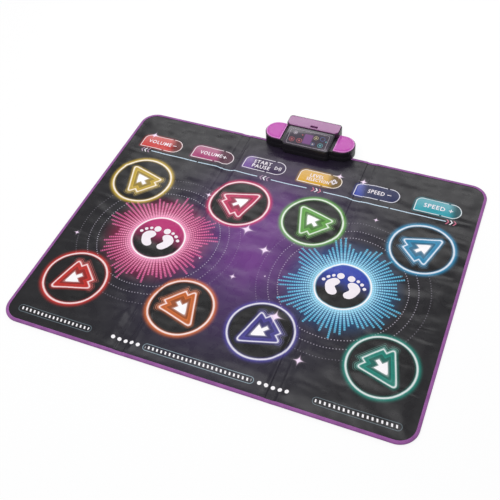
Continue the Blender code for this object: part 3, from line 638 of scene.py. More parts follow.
class Field:
    """A value in a material graph that takes Python's arithmetic signs."""

    def __init__(self, graph: Graph, socket: bpy.types.NodeSocket) -> None:
        """Hold one output socket of a graph."""
        self.graph = graph
        self.socket = socket

    def math(self, operation: str, *others: object) -> "Field":
        """A Math node on this value and the others."""
        return self.graph.node("ShaderNodeMath", dict(enumerate((self, *others))), operation=operation)

    def __add__(self, other: object) -> "Field":
        """Sum."""
        return self.math("ADD", other)

    def __sub__(self, other: object) -> "Field":
        """Difference."""
        return self.math("SUBTRACT", other)

    def __mul__(self, other: object) -> "Field":
        """Product."""
        return self.math("MULTIPLY", other)

    def __truediv__(self, other: object) -> "Field":
        """Quotient."""
        return self.math("DIVIDE", other)

    def __neg__(self) -> "Field":
        """The value with its sign turned."""
        return self.math("MULTIPLY", -1.0)

    def __abs__(self) -> "Field":
        """The size of the value."""
        return self.math("ABSOLUTE")

    def most(self, other: object, round_over: float = 0.0) -> "Field":
        """The larger of two values, with the corner between them rounded over."""
        return self.math("SMOOTH_MAX", other, round_over) if round_over else self.math("MAXIMUM", other)

    def least(self, other: object, round_over: float = 0.0) -> "Field":
        """The smaller of two values, with the corner between them rounded over."""
        return self.math("SMOOTH_MIN", other, round_over) if round_over else self.math("MINIMUM", other)

    def above(self, level: object) -> "Field":
        """1 where the value is above a level, and 0 elsewhere."""
        return self.math("GREATER_THAN", level)

    def below(self, level: object) -> "Field":
        """1 where the value is below a level, and 0 elsewhere."""
        return self.math("LESS_THAN", level)

    def ease(self, start: float, end: float) -> "Field":
        """A smooth rise from 0 at start to 1 at end, or a fall where end is the smaller."""
        return self.graph.node("ShaderNodeMapRange", {"Value": self, "From Min": start, "From Max": end},
                               interpolation_type="SMOOTHSTEP")

    def line(self, place: float, half_width: float, soft: float = 0.0006) -> "Field":
        """1 on a line where the value is at a place, and 0 off it."""
        return abs(self - place).ease(half_width + soft, half_width)

    def inside(self, soft: float = 0.0004) -> "Field":
        """1 where a distance from an outline is below 0, with a crisp edge."""
        return self.ease(soft, -soft)

    def length(self, other: "Field") -> "Field":
        """The length of two values taken as the legs of a right angle."""
        return (self * self + other * other).math("SQRT")


# ---------------------------------------------------------------------------------------------
# Finishes


class PadColour(Enum):
    """The colours of the eight arrow pads, from the left to the right in each row."""

    YELLOW = srgb(226, 190, 62)
    PINK = srgb(222, 40, 104)
    GREEN = srgb(112, 186, 78)
    CYAN = srgb(44, 156, 206)
    RED = srgb(222, 52, 44)
    ORANGE = srgb(232, 118, 48)
    INDIGO = srgb(82, 73, 166)
    TEAL = srgb(22, 152, 136)


BACK_ROW = (PadColour.YELLOW, PadColour.PINK, PadColour.GREEN, PadColour.CYAN)
FRONT_ROW = (PadColour.RED, PadColour.ORANGE, PadColour.INDIGO, PadColour.TEAL)


@dataclass(frozen=True)
class Capsule:
    """One control print: where it is, its colour and how far along it the colour gives out."""

    x: float
    drop: float
    fade: float
    colour: Colour


CAPSULES = (
    Capsule(-0.475, -0.0080, 0.040, srgb(206, 50, 46)),
    Capsule(-0.289, -0.0035, 0.022, srgb(166, 46, 110)),
    Capsule(-0.107, 0.0033, -0.036, srgb(106, 62, 150)),
    Capsule(0.085, 0.0005, 0.034, srgb(222, 168, 24)),
    Capsule(0.2735, -0.0004, -0.044, srgb(42, 66, 170)),
    Capsule(0.468, -0.0058, 0.046, srgb(24, 160, 176)),
)


@dataclass(frozen=True)
class PrintedVinyl:
    """Soft black vinyl with its glowing rings, arrows, bursts, capsules and stars printed on it."""

    name: str = "printed_vinyl"
    ground: Colour = srgb(30, 29, 33)
    black: Colour = srgb(20, 19, 22)
    white: Colour = srgb(255, 252, 255)
    nebula: Colour = srgb(110, 54, 133)
    nebula_far: Colour = srgb(58, 46, 96)
    # The pads' rings, and their arrows as distances from the pad's middle
    ring_radius: float = 0.0934
    ring_half: float = 0.0016
    ring_glow: float = 0.0210
    arrow_side: tuple[float, float, float] = (0.878, 0.478, 0.0372)
    arrow_back: float = 0.0295
    arrow_corner: float = 0.0050
    arrow_nose: tuple[float, float, float] = (0.0060, 0.0640, 0.0080)
    tail_half: float = 0.0325
    tail_back: float = 0.0450
    inner_arrow: float = 0.0108
    echo_pitch: float = 0.0046
    white_side: tuple[float, float, float] = (0.885, 0.465, 0.0165)
    white_back: float = 0.0045
    white_corner: float = 0.0012
    shaft_half: float = 0.0060
    shaft_back: float = 0.0215
    # The bursts, with the radius, number and strength of their dotted rings
    burst_radius: float = 0.0810
    burst_glow: float = 0.0220
    halo: tuple[float, float] = (0.188, 0.084)
    bar_count: int = 74
    bar_reach: float = 0.125
    bar_sway: float = 0.052
    bar_jump: float = 0.020
    bead_pitch: float = 0.0064
    dotted_rings: tuple[tuple[float, int, float], ...] = (
        (0.1860, 134, 0.62), (0.2135, 152, 0.50), (0.2480, 176, 0.22))
    # The place and reach of each star
    sparkles: tuple[tuple[float, float, float], ...] = (
        (-0.546, -0.120, 0.013), (-0.026, -0.122, 0.016), (0.025, 0.002, 0.027), (0.302, 0.226, 0.013),
        (0.250, -0.326, 0.023), (-0.056, 0.062, 0.032), (-0.229, 0.163, 0.016), (-0.520, 0.363, 0.022),
        (0.218, 0.376, 0.020), (0.1405, 0.371, 0.020), (0.1414, -0.2143, 0.032), (-0.145, -0.090, 0.007),
        (0.062, -0.090, 0.006))
    # The capsules round the control pads
    capsule_half: tuple[float, float] = (0.0715, 0.0290)
    capsule_corners: tuple[float, float] = (0.003, 0.020)
    capsule_gaps: tuple[float, float] = (0.030, 0.012)
    # The long line, which shows in every second stretch between its stops, and its chevrons
    line_y: float = 0.288
    line_half: float = 0.0014
    line_stops: tuple[float, ...] = (
        -0.500, -0.331, -0.327, -0.116, -0.070, 0.055, 0.109, 0.322, 0.326, 0.500)
    chevron_places: tuple[float, float] = (0.523, 0.089)
    chevron_reach: float = 0.0165
    chevron_pitch: float = 0.0110
    # The slots along the front edge, with their ticks, and the dots between them
    slot_y: float = -0.425
    slot_half: float = 0.0103
    slot_lengths: tuple[float, float] = (0.161, 0.1165)
    side_slot_x: float = 0.440
    tick_pitch: float = 0.0125
    dot_pitch: float = 0.019
    dot_places: tuple[float, float] = (0.168, 0.263)
    roughness: float = 0.30
    relief: float = 0.0085

    def build(self) -> bpy.types.Material:
        """Lay the prints over each other from the ground up.

        Returns:
            The material.
        """
        g = Graph(self.name)
        x, y, _ = g.axes()
        pulled = y + x.ease(-0.150, -0.255) * SIDE_SHIFT
        ink = self.sky(g, x, y)
        ink = self.bursts(g, x, pulled, ink)
        ink = self.pads(g, x, pulled, ink)
        ink = self.capsules(g, x, y, ink)
        ink = self.trims(g, x, y, ink)
        ink = self.stars(g, x, y, ink)
        streaks = g.noise(1.0, 1.0, g.node("ShaderNodeCombineXYZ", {0: x * 7.0 + y * 3.0, 1: y * 17.0}))
        creases = g.noise(30, 1.0)
        grain = g.noise(900, 1.0)
        normal = g.bump(streaks + creases * 0.20 + grain * 0.010, 0.75, self.relief)
        return g.surface(Base_Color=ink, Roughness=creases.ease(0.3, 0.75) * 0.12 + self.roughness - 0.06,
                         Normal=normal, Specular_IOR_Level=0.34)

    def sky(self, g: Graph, x: Field, y: Field) -> Field:
        """The vinyl's black with the purple cloud over its middle.

        Args:
            g: the material's graph.
            x: the place across the mat.
            y: the place along the mat.

        Returns:
            The colour.
        """
        cloud = g.noise(6.5, 4.0)
        spread_x, spread_y = (x + 0.018) / 0.150, (y - 0.030) / 0.230
        near = (-(spread_x * spread_x + spread_y * spread_y)).math("EXPONENT")
        share = (near * (cloud * 1.3 + 0.30)).least(1.0)
        far = (-(x / 0.25 * (x / 0.25) + (y + 0.03) / 0.30 * ((y + 0.03) / 0.30))).math("EXPONENT")
        ground = g.mix(g.noise(3.0, 3.0), self.ground, tuple(c * 0.72 for c in self.ground))
        return g.mix(share, g.mix(far * 0.75, ground, self.nebula_far), self.nebula)

    def bursts(self, g: Graph, x: Field, y: Field, ink: Field) -> Field:
        """The two dotted bursts of light about the footprints.

        Args:
            g: the material's graph.
            x: the place across the mat.
            y: the place along the mat.
            ink: the colour of what is printed below.

        Returns:
            The colour with the bursts on it.
        """
        right = x.above(0.0)
        (left_x, _), (right_x, right_y) = BURST_PLACES
        across = abs(x - (left_x + right_x) / 2) - (right_x - left_x) / 2
        up = y - right_y
        radius = across.length(up)
        glow = g.mix(right, srgb(178, 24, 92), srgb(20, 104, 164))
        dots = g.mix(right, srgb(240, 108, 168), srgb(104, 206, 246))
        pale = g.mix(right, srgb(255, 196, 224), srgb(206, 244, 255))
        turn = up.math("ARCTAN2", across) * (self.bar_count / (2 * math.pi))
        index = turn.math("FLOOR") + right * 37.0
        sway = g.node("ShaderNodeTexNoise", {"W": index * 0.23, "Scale": 1.0, "Detail": 1.0},
                      noise_dimensions="1D")
        jump = g.node("ShaderNodeTexWhiteNoise", {"W": index}, 0, noise_dimensions="1D")
        reach = sway.ease(0.25, 0.75) * self.bar_sway + jump * self.bar_jump + self.bar_reach
        aside = abs(turn.math("FRACT") - 0.5) * radius * (2 * math.pi / self.bar_count)
        bead = abs((radius / self.bead_pitch).math("FRACT") - 0.5)
        bars = aside.ease(0.0034, 0.0024) * bead.ease(0.45, 0.31) * radius.below(reach)
        halo = radius.ease(*self.halo)
        ink = g.mix(halo * 0.62, ink, glow)
        ink = g.mix(bars * (halo * 0.30 + 0.66), ink, g.mix(radius.ease(0.150, 0.084) * 0.50, dots, pale))
        for ring, count, share in self.dotted_rings:
            step = abs((turn * (count / self.bar_count)).math("FRACT") - 0.5)
            dotted = radius.line(ring, 0.0011) * step.ease(0.20, 0.12)
            ink = g.mix(dotted * share, ink, srgb(214, 206, 224))
        floor_tint = g.mix(right, srgb(184, 40, 112), srgb(44, 66, 172))
        rise = ((up + (g.noise(22, 3.0) - 0.5) * 0.06) / self.burst_radius).ease(-0.42, 0.62)
        inside = g.mix(rise, self.black, floor_tint)
        ink = g.mix(radius.ease(self.burst_radius + 0.0008, self.burst_radius), ink, inside)
        rim = abs(radius - self.burst_radius)
        bloom = radius.above(self.burst_radius) * rim.ease(self.burst_glow, 0.0) * 0.75
        ink = g.mix(bloom.most(rim.ease(0.0065, 0.001) * 0.75), ink, g.mix(0.45, dots, pale))
        return g.mix(rim.ease(0.0034, 0.0012) * 0.95, ink, self.white)

    def stars(self, g: Graph, x: Field, y: Field, ink: Field) -> Field:
        """Round stars, and sparkles with four rays, scattered over the middle.

        Args:
            g: the material's graph.
            x: the place across the mat.
            y: the place along the mat.
            ink: the colour of what is printed below.

        Returns:
            The colour with the stars on it.
        """
        light = None
        for place_x, place_y, reach in self.sparkles:
            arms = abs(x - place_x).math("SQRT") + abs(y - place_y).math("SQRT")
            tip = math.sqrt(reach)
            star = arms.ease(tip, tip * 0.60) + arms.ease(tip * 1.30, tip * 0.3) * 0.25
            light = star if light is None else light.most(star)
        return g.mix(light.least(1.0), ink, srgb(250, 226, 252))

    def pads(self, g: Graph, x: Field, y: Field, ink: Field) -> Field:
        """The eight glowing rings with their arrows, which all point away from the pads' own middle.

        The mat is folded over twice in each direction, so that one ring and one arrow serve all eight.

        Args:
            g: the material's graph.
            x: the place across the mat.
            y: the place along the mat.
            ink: the colour of what is printed below.

        Returns:
            The colour with the pads' prints on it.
        """
        middle_x, middle_y = sum(PAD_X) / 2, sum(PAD_Y) / 2
        across = abs(abs(x) - middle_x) - (PAD_X[1] - PAD_X[0]) / 2
        up = abs(y - middle_y) - (PAD_Y[1] - PAD_Y[0]) / 2
        radius = across.length(up)
        stops = (-MAT_HALF_WIDTH, -middle_x, 0.0, middle_x, MAT_HALF_WIDTH)
        rows = [g.choose(x, [colour.value for colour in row], stops) for row in (FRONT_ROW, BACK_ROW)]
        colour = g.mix(y.above(middle_y), *rows)
        pale = g.mix(0.76, colour, self.white)
        off = radius - self.ring_radius
        outer = off.ease(self.ring_glow, 0.0) * off.above(0.0)
        ink = g.mix(outer * outer * 0.90, ink, colour)
        inner_black = g.mix(off.ease(-0.010, 0.0) * 0.35, self.black, colour)
        ink = g.mix(off.inside(), ink, inner_black)
        for reach, core, tone in ((0.0030, 0.0, g.mix(0.45, colour, self.white)), (0.0008, 0.0006, pale)):
            ink = g.mix(abs(off).ease(self.ring_half + reach, self.ring_half - core), ink, tone)
        along = (across + up) * math.sqrt(0.5)
        aside = ((across - up) * (across - up) * 0.5 + 0.000009).math("SQRT")
        edge = self.arrow(along, aside)
        on_pad = radius.below(self.ring_radius - 0.004)
        echo = abs((edge / self.echo_pitch).math("FRACT") - 0.5).ease(0.18, 0.34)
        echo = echo * edge.ease(0.0185, 0.0060)
        echo = echo * edge.above(0.0024) * along.ease(-0.010, -0.030) * 0.62
        ink = g.mix(edge.ease(0.0120, 0.0) * edge.above(0.0) * 0.42 * on_pad, ink, colour)
        ink = g.mix(echo * on_pad, ink, g.mix(0.15, colour, self.white))
        body = g.mix(0.36, colour, self.black)
        deep = g.mix(0.62, colour, self.black)
        inner = edge.ease(0.0008 - self.inner_arrow, -0.0004 - self.inner_arrow)
        fill = g.mix(edge.ease(-0.0060, -0.0010) * 0.60, g.mix(inner, body, deep), colour)
        fill = g.mix(edge.line(-self.inner_arrow, 0.0005, 0.0014) * 0.60, fill, colour)
        ink = g.mix(edge.inside(), ink, fill)
        ink = g.mix(abs(edge).ease(0.0042, 0.0014) * 0.80 * on_pad, ink, g.mix(0.35, colour, self.white))
        ink = g.mix(abs(edge).ease(0.0019, 0.0010) * on_pad, ink, pale)
        lean, rise, far = self.white_side
        head = (aside * lean + along * rise - far).most(-along - self.white_back, self.white_corner)
        shaft = (aside - self.shaft_half).most(-along - self.shaft_back).most(along)
        white_arrow = head.least(shaft)
        ink = g.mix(white_arrow.ease(0.0050, 0.0) * 0.35, ink, pale)
        return g.mix(white_arrow.inside(), ink, self.white)

    def arrow(self, along: Field, aside: Field) -> Field:
        """How far a point lies outside the big arrow: a wide head with a short, notched tail.

        Args:
            along: the place along the arrow, towards its point.
            aside: the distance from the arrow's middle line.

        Returns:
            The distance, which is below 0 on the arrow.
        """
        (lean, rise, far), (nose, span, blunt) = self.arrow_side, self.arrow_nose
        slant = aside * lean + along * rise - far
        round_nose = (along - nose).length(aside) - span
        head = slant.most(-along - self.arrow_back, self.arrow_corner).most(round_nose, blunt)
        tail = (aside - self.tail_half).most(-along - self.tail_back, 0.0030).most(along)
        return head.least(tail, 0.0010)

    def capsules(self, g: Graph, x: Field, y: Field, ink: Field) -> Field:
        """The six capsule prints round the control pads, each darker towards its right end.

        Args:
            g: the material's graph.
            x: the place across the mat.
            y: the place along the mat.
            ink: the colour of what is printed below.

        Returns:
            The colour with the capsules on it.
        """
        half_length, half_depth = self.capsule_half
        lower_corner, upper_corner = self.capsule_corners
        x_span, y_span, fade_span = 2 * MAT_HALF_WIDTH, 0.1, 0.2
        between = [(one.x + other.x) / 2 for one, other in zip(CAPSULES, CAPSULES[1:])]
        stops = (-MAT_HALF_WIDTH, *between, MAT_HALF_WIDTH)
        # A ramp's colours carry each capsule's place, fade and drop
        codes = [(capsule.x / x_span + 0.5, capsule.fade / fade_span + 0.5, capsule.drop / y_span + 0.5)
                 for capsule in CAPSULES]
        code = g.nodes.new("ShaderNodeSeparateColor")
        g.feed(code.inputs[0], g.choose(x, codes, stops))
        centre, fade, drop = (Field(g, code.outputs[i]) - 0.5 for i in range(3))
        across = x - centre * x_span
        up = y - CONTROL_Y - drop * y_span
        right, top = across.above(0.0), up.above(0.0)
        corner = top * (upper_corner - lower_corner) + lower_corner
        corner = corner + right * (-corner + half_depth)
        out_x = abs(across) + corner - half_length
        out_y = abs(up) + corner - half_depth
        edge = out_x.most(0.0).length(out_y.most(0.0)) + out_x.most(out_y).least(0.0) - corner
        colour = g.choose(x, [capsule.colour for capsule in CAPSULES], stops)
        shade = (across - fade * fade_span + up * 0.15).ease(-0.018, 0.014)
        lit = g.mix(up.ease(-0.026, 0.026) * 0.12, colour, self.white)
        fill = g.mix(shade, lit, g.mix(0.80, colour, self.black))
        ink = g.mix(edge.ease(0.0090, 0.0) * edge.above(0.0) * (-shade + 1.0) * 0.35, ink, colour)
        ink = g.mix(edge.ease(-0.0018, -0.0028) * 0.94, ink, fill)
        upper_gap, lower_gap = (abs(across - place).ease(0.0030, 0.0040) for place in self.capsule_gaps)
        gaps = upper_gap.most(up.below(0.0)) * lower_gap.most(up.above(0.0))
        return g.mix(edge.line(-0.0010, 0.0010) * gaps, ink, g.mix(0.75, colour, self.white))

    def trims(self, g: Graph, x: Field, y: Field, ink: Field) -> Field:
        """The long line with its chevrons, and the slots with ticks and dots along the front edge.

        Args:
            g: the material's graph.
            x: the place across the mat.
            y: the place along the mat.
            ink: the colour of what is printed below.

        Returns:
            The colour with the trims on it.
        """
        off = y - self.line_y
        dark, light = (0.0, 0.0, 0.0), (1.0, 1.0, 1.0)
        stops = (-MAT_HALF_WIDTH, *self.line_stops, MAT_HALF_WIDTH)
        shown = g.choose(x, (dark, light) * 5 + (dark, dark), stops)
        ink = g.mix(off.line(0.0, self.line_half) * shown, ink, srgb(196, 218, 236))
        lean = abs(x) + abs(off) * 0.7
        far, near = self.chevron_places
        reach, pitch = self.chevron_reach, self.chevron_pitch
        window = abs(lean - far).below(reach).most(abs(lean - near).below(reach))
        mark = abs(((lean - (far - reach)) / pitch).math("FRACT") - 0.30).below(0.20)
        centre = abs(lean - (far - 0.0022)).below(pitch / 2)
        centre = centre.most(abs(lean - (near + 0.0028)).below(pitch / 2))
        outer = g.mix(x.above(0.0), srgb(168, 138, 166), srgb(198, 106, 134))
        chevron = g.mix(centre, outer, srgb(238, 232, 240))
        ink = g.mix(window * mark * abs(off).below(0.0095), ink, chevron)
        up = y - self.slot_y
        outer = abs(x).above(0.28)
        across = abs(x) - outer * self.side_slot_x
        middle_half, side_half = self.slot_lengths
        half = outer * (side_half - middle_half) + middle_half
        edge = (abs(across) - half + self.slot_half).most(0.0).length(up) - self.slot_half
        ink = g.mix(edge.line(0.0, 0.0005) * (outer * -0.55 + 0.95), ink, srgb(150, 172, 184))
        tick = abs(((x + up * 0.19) / self.tick_pitch).math("FRACT") - 0.5).ease(0.22, 0.16)
        tick = tick * abs(up).ease(0.0046, 0.0040) * (abs(across) - half).below(-0.0065)
        ink = g.mix(tick, ink, self.white)
        first, last = self.dot_places
        nearest = (((abs(x) - first) / self.dot_pitch).math("FRACT") - 0.5) * self.dot_pitch
        shown = abs(abs(x) - (first + last) / 2).below((last - first) / 2)
        dot = nearest.length(up).ease(0.0060, 0.0052) * shown
        return g.mix(dot, ink, self.white)


@dataclass(frozen=True)
class Moulding:
    """A plastic, rubber, metal or foam finish with its grain, cloudiness and wear in the roughness."""

    name: str
    colour: Colour
    roughness: float = 0.45
    metallic: float = 0.0
    grain_scale: float = 1400.0
    grain: float = 0.05
    cloud: float = 0.10
    coat: float = 0.0
    specular: float = 0.5
    sheen: float = 0.0

    def build(self) -> bpy.types.Material:
        """Make the material: cloudy colour, uneven gloss and a fine moulded grain.

        Returns:
            The material.
        """
        g = Graph(self.name)
        cloud = g.noise(18, 3.0)
        shade = g.mix(cloud, tuple(c * (1 - self.cloud) for c in self.colour),
                      tuple(min(c * (1 + self.cloud), 1.0) for c in self.colour))
        rough = g.noise(55, 2.0).ease(0.25, 0.75) * 0.10 + (self.roughness - 0.05)
        normal = g.bump(g.noise(self.grain_scale, 1.0), self.grain, 0.0006)
        return g.surface(Base_Color=shade, Roughness=rough, Metallic=self.metallic, Normal=normal,
                         Coat_Weight=self.coat, Specular_IOR_Level=self.specular,
                         Sheen_Weight=self.sheen)


@dataclass(frozen=True)
class WovenTape:
    """Purple edging tape, woven in a fine twill."""

    name: str = "purple_tape"
    colour: Colour = srgb(154, 84, 160)
    dark: Colour = srgb(112, 52, 120)
    rib_rate: float = 2600.0

    def build(self) -> bpy.types.Material:
        """Make the twill from two crossed sets of ribs.

        Returns:
            The material.
        """
        g = Graph(self.name)
        x, y, z = g.axes()
        ribs = ((x + y) * self.rib_rate).math("SINE") * ((x - y + z) * self.rib_rate).math("SINE")
        wear = g.noise(30, 3.0)
        shade = g.mix(wear.ease(0.3, 0.7) * 0.5 + ribs * 0.15, self.colour, self.dark)
        normal = g.bump(ribs * 0.5 + g.noise(240, 2.0), 0.35, 0.0006)
        return g.surface(Base_Color=shade, Roughness=wear * 0.2 + 0.5, Normal=normal,
                         Sheen_Weight=0.25, Specular_IOR_Level=0.4)


@dataclass(frozen=True)
class SmokedWindow:
    """The console's smoked display, with the purple digit field that shows through it."""

    name: str = "smoked_window"
    glass: Colour = srgb(74, 62, 80)
    deep: Colour = srgb(50, 44, 56)
    digits: Colour = srgb(138, 84, 150)
    field_half: tuple[float, float] = (0.0170, 0.0230)
    field_core: tuple[float, float] = (0.0115, 0.0160)
    segment_pitch: float = 0.0034

    def build(self) -> bpy.types.Material:
        """Make the window's tint, darker to its edges, with a soft field about its middle.

        Returns:
            The material.
        """
        g = Graph(self.name)
        x, y, _ = g.axes()
        low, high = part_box("display_window")
        centre = (low + high) / 2
        cloud = g.noise(40, 3.0)
        tint = g.mix(cloud, self.deep, self.glass)
        field_x = abs(x - centre.x + 0.0005).ease(self.field_half[0], self.field_core[0])
        field_y = abs(y - centre.y + 0.003).ease(self.field_half[1], self.field_core[1])
        segment = (abs((x / self.segment_pitch).math("FRACT") - 0.5) * 2).ease(0.2, 0.9) * 0.25 + 0.75
        tint = g.mix(field_x * field_y * segment * 0.85, tint, self.digits)
        return g.surface(Base_Color=tint, Roughness=cloud * 0.08 + 0.10, Coat_Weight=0.6,
                         Coat_Roughness=0.04, Specular_IOR_Level=0.5)


FINISHES = {
    "vinyl": PrintedVinyl(),
    "tape": WovenTape(),
    "window": SmokedWindow(),
    "thread": Moulding("tape_thread", srgb(176, 112, 182), 0.6, grain_scale=2400, grain=0.3, sheen=0.3),
    "underside": Moulding("nonslip_underside", srgb(52, 51, 55), 0.75, grain_scale=420, grain=0.6),
    "film": Moulding("sensor_film", srgb(196, 190, 172), 0.35),
    "foam": Moulding("foam", srgb(206, 205, 200), 0.9, grain_scale=700, grain=0.8),
    "housing": Moulding("black_housing", srgb(30, 28, 34), 0.38, grain_scale=1800, grain=0.12, cloud=0.2),
    "lens": Moulding("magenta_lens", srgb(190, 71, 174), 0.34, grain=0.02, cloud=0.08),
    "rim": Moulding("pale_magenta_rim", srgb(218, 132, 207), 0.30, grain=0.02, cloud=0.05),
    "flap": Moulding("magenta_flap", srgb(152, 86, 144), 0.16, grain=0.02, cloud=0.12, coat=0.5),
    "steel": Moulding("plated_steel", srgb(188, 188, 192), 0.30, 1.0, grain_scale=500, grain=0.08),
    "cell": Moulding("battery_wrap", srgb(70, 72, 80), 0.30, 0.4),
    "board": Moulding("circuit_board", srgb(34, 96, 60), 0.45, grain_scale=300, grain=0.2),
    "speaker": Moulding("speaker_black", srgb(46, 46, 50), 0.6, 0.3, grain_scale=600, grain=0.3),
    "switch": Moulding("switch_plastic", srgb(62, 62, 66), 0.4),
    "foot": Moulding("rubber_foot", srgb(34, 34, 36), 0.85, grain_scale=500, grain=0.4),
    "white_ink": Moulding("white_ink", srgb(244, 236, 244), 0.45, grain=0.02, cloud=0.04),
    "silver_ink": Moulding("silver_ink", srgb(176, 166, 178), 0.35, grain=0.02),
}
for ink_name, ink_colour in (("red_ink", srgb(172, 84, 94)), ("amber_ink", srgb(182, 168, 132)),
                             ("blue_ink", srgb(84, 100, 150)), ("cyan_ink", srgb(92, 158, 168))):
    FINISHES[ink_name] = Moulding(ink_name, ink_colour, 0.4, grain=0.02)
MADE: dict[str, bpy.types.Material] = {}


def finish(name: str) -> bpy.types.Material:
    """The material of a finish, made on its first use.

    Args:
        name: the finish's name in FINISHES.

    Returns:
        The material.
    """
    if name not in MADE:
        MADE[name] = FINISHES[name].build()
    return MADE[name]


# ---------------------------------------------------------------------------------------------
# The mat


@dataclass
class VinylSheets:
    """The printed upper sheet, in four stretches that each bend over one crease."""

    thickness: float = 0.0006
    level: float = SURFACE_Z
    cell: float = 0.0055
    steps: tuple[float, ...] = (-0.0060, -0.0040, -0.0025, -0.0010, 0.0003, 0.0012, 0.0022, 0.0035)
    edge_inset: float = 0.0012
    corner: float = 0.055
    pad_radius: float = 0.0805
    control_size: tuple[float, float] = (0.113, 0.047)

    def build(self) -> None:
        """Make every zone's sheet."""
        for zone in ZONES:
            self.sheet(zone)

    def outline(self) -> Item:
        """A block with the whole mat's rounded corners, for trimming a sheet.

        Returns:
            The block.
        """
        inset = self.edge_inset
        tool = cube((inset - MAT_HALF_WIDTH, inset - MAT_HALF_DEPTH, -BLOCK_REACH),
                    (MAT_HALF_WIDTH - inset, MAT_HALF_DEPTH - inset, BLOCK_REACH))
        round_edges(tool, self.corner - inset, 16, upright)
        return tool

    def slab(self, low: Spot, high: Spot, thickness: float, cuts: Sequence[float] = ()) -> Item:
        """A finely divided slab whose upper face is at the sheet's level.

        Args:
            low: its lowest X and Y.
            high: its highest X and Y.
            thickness: how thick it is.
            cuts: further places along X where it is divided.

        Returns:
            The slab.
        """
        counts = [max(2, round((b - a) / self.cell)) for a, b in zip(low, high)]
        centre = [(a + b) / 2 for a, b in zip(low, high)]
        bpy.ops.mesh.primitive_grid_add(x_subdivisions=counts[0], y_subdivisions=counts[1], size=1,
                                        location=(*centre, self.level))
        item = added((high[0] - low[0], high[1] - low[1], 1))
        divide_at(item, cuts)
        apply_modifier(item, "SOLIDIFY", thickness=thickness, offset=-1)
        return item

    def fold_lines(self, zone: Zone) -> list[float]:
        """The places across a zone where its pieces are divided, so that they turn smoothly.

        Args:
            zone: the stretch of the mat.

        Returns:
            The places along X.
        """
        side = math.copysign(1, zone.low + zone.high)
        lines = [side * (place + step) for place in (CREASE_INNER, CREASE_OUTER) for step in self.steps]
        return [line for line in lines if zone.low < line < zone.high]

    def stretch(self, zone: Zone) -> Item:
        """One zone's slab, divided at its crease and trimmed to the mat's outline.

        Args:
            zone: the stretch of the mat.

        Returns:
            The slab.
        """
        item = self.slab((zone.low, -MAT_HALF_DEPTH), (zone.high, MAT_HALF_DEPTH), self.thickness,
                         self.fold_lines(zone))
        carve(item, self.outline(), Boolean.KEEP)
        return item

    def sheet(self, zone: Zone) -> None:
        """One stretch of the printed sheet, with its pads' openings.

        Args:
            zone: the stretch of the mat.
        """
        item = self.stretch(zone)
        for node in frame["nodes"]:
            if node.endswith("_pad") and zone.low < middle(node).x < zone.high:
                carve(item, self.pad_shape(node, 0.0))
        SURFACE.drape(item)
        finish_piece(item, f"{zone.name}_printed_vinyl", finish("vinyl"))
        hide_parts(zone.replaced)
        zone.bend(item)

    def pad_shape(self, node: str, inset: float) -> Item:
        """A block with a pad's outline, set in from the sheet's opening.

        Args:
            node: the pad's CAD node.
            inset: how far it is set in.

        Returns:
            The block.
        """
        centre = middle(node)
        if node.endswith("_arrow_pad"):
            return cylinder(self.pad_radius - inset, (centre.x, centre.y, 0), 2 * BLOCK_REACH)
        half_x, half_y = (size / 2 - inset for size in self.control_size)
        tool = cube((centre.x - half_x, centre.y - half_y, -BLOCK_REACH),
                    (centre.x + half_x, centre.y + half_y, BLOCK_REACH))
        round_edges(tool, half_y * 0.999, 14, upright)
        return tool


@dataclass
class BaseSheets(VinylSheets):
    """The cloth underside, which wraps round the folds and ends under the binding."""

    thickness: float = 0.0007
    level: float = 0.0007
    cell: float = 0.0300
    edge_inset: float = 0.0138
    steps: tuple[float, ...] = tuple(step / 1000 for step in range(-5, 6))

    def sheet(self, zone: Zone) -> None:
        """One stretch of the underside.

        Args:
            zone: the stretch of the mat.
        """
        item = self.stretch(zone)
        finish_piece(item, f"{zone.name}_underside", finish("underside"))
        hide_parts(zone.replaced.replace("top_sheet", "base_sheet"))
        zone.bend(item)


@dataclass
class PadCovers(VinylSheets):
    """The soft pads that the feet press, flush with the vinyl and slightly crowned."""

    clearance: float = 0.00012
    margin: float = 0.002
    crown: float = 0.0005
    bottom: float = 0.0030

    def build(self) -> None:
        """Make a cover for every pad."""
        for node in sorted(frame["nodes"]):
            if node.endswith("_pad"):
                self.cover(node)

    def cover(self, node: str) -> None:
        """One pad: its outline cut from a fine slab, draped with the vinyl and crowned.

        Args:
            node: the pad's CAD node.
        """
        low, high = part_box(node)
        centre = (low + high) / 2
        item = self.slab((low.x - self.margin, low.y - self.margin),
                         (high.x + self.margin, high.y + self.margin), SURFACE_Z - self.bottom)
        carve(item, self.pad_shape(node, self.clearance), Boolean.KEEP)
        half = (high - low) / 2

        def rule(points: np.ndarray) -> np.ndarray:
            """Drape the upper face and keep the lower one flat.

            Args:
                points: the points.

            Returns:
                Their new places.
            """
            upper = points[:, 2] > (SURFACE_Z + self.bottom) / 2
            off = np.maximum(np.abs(points[:, 0] - centre.x) - half.x + half.y, 0)
            out = np.hypot(off, points[:, 1] - centre.y) / half.y
            level = SURFACE.height(points[:, 0], points[:, 1]) + self.crown * smooth(out, 1.0, 0.75)
            points[:, 2] = np.where(upper, level, self.bottom)
            return points
        move_points(item, rule)
        finish_piece(item, f"{node}_cover", finish("vinyl"))
        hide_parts(node)
        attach(item, node)


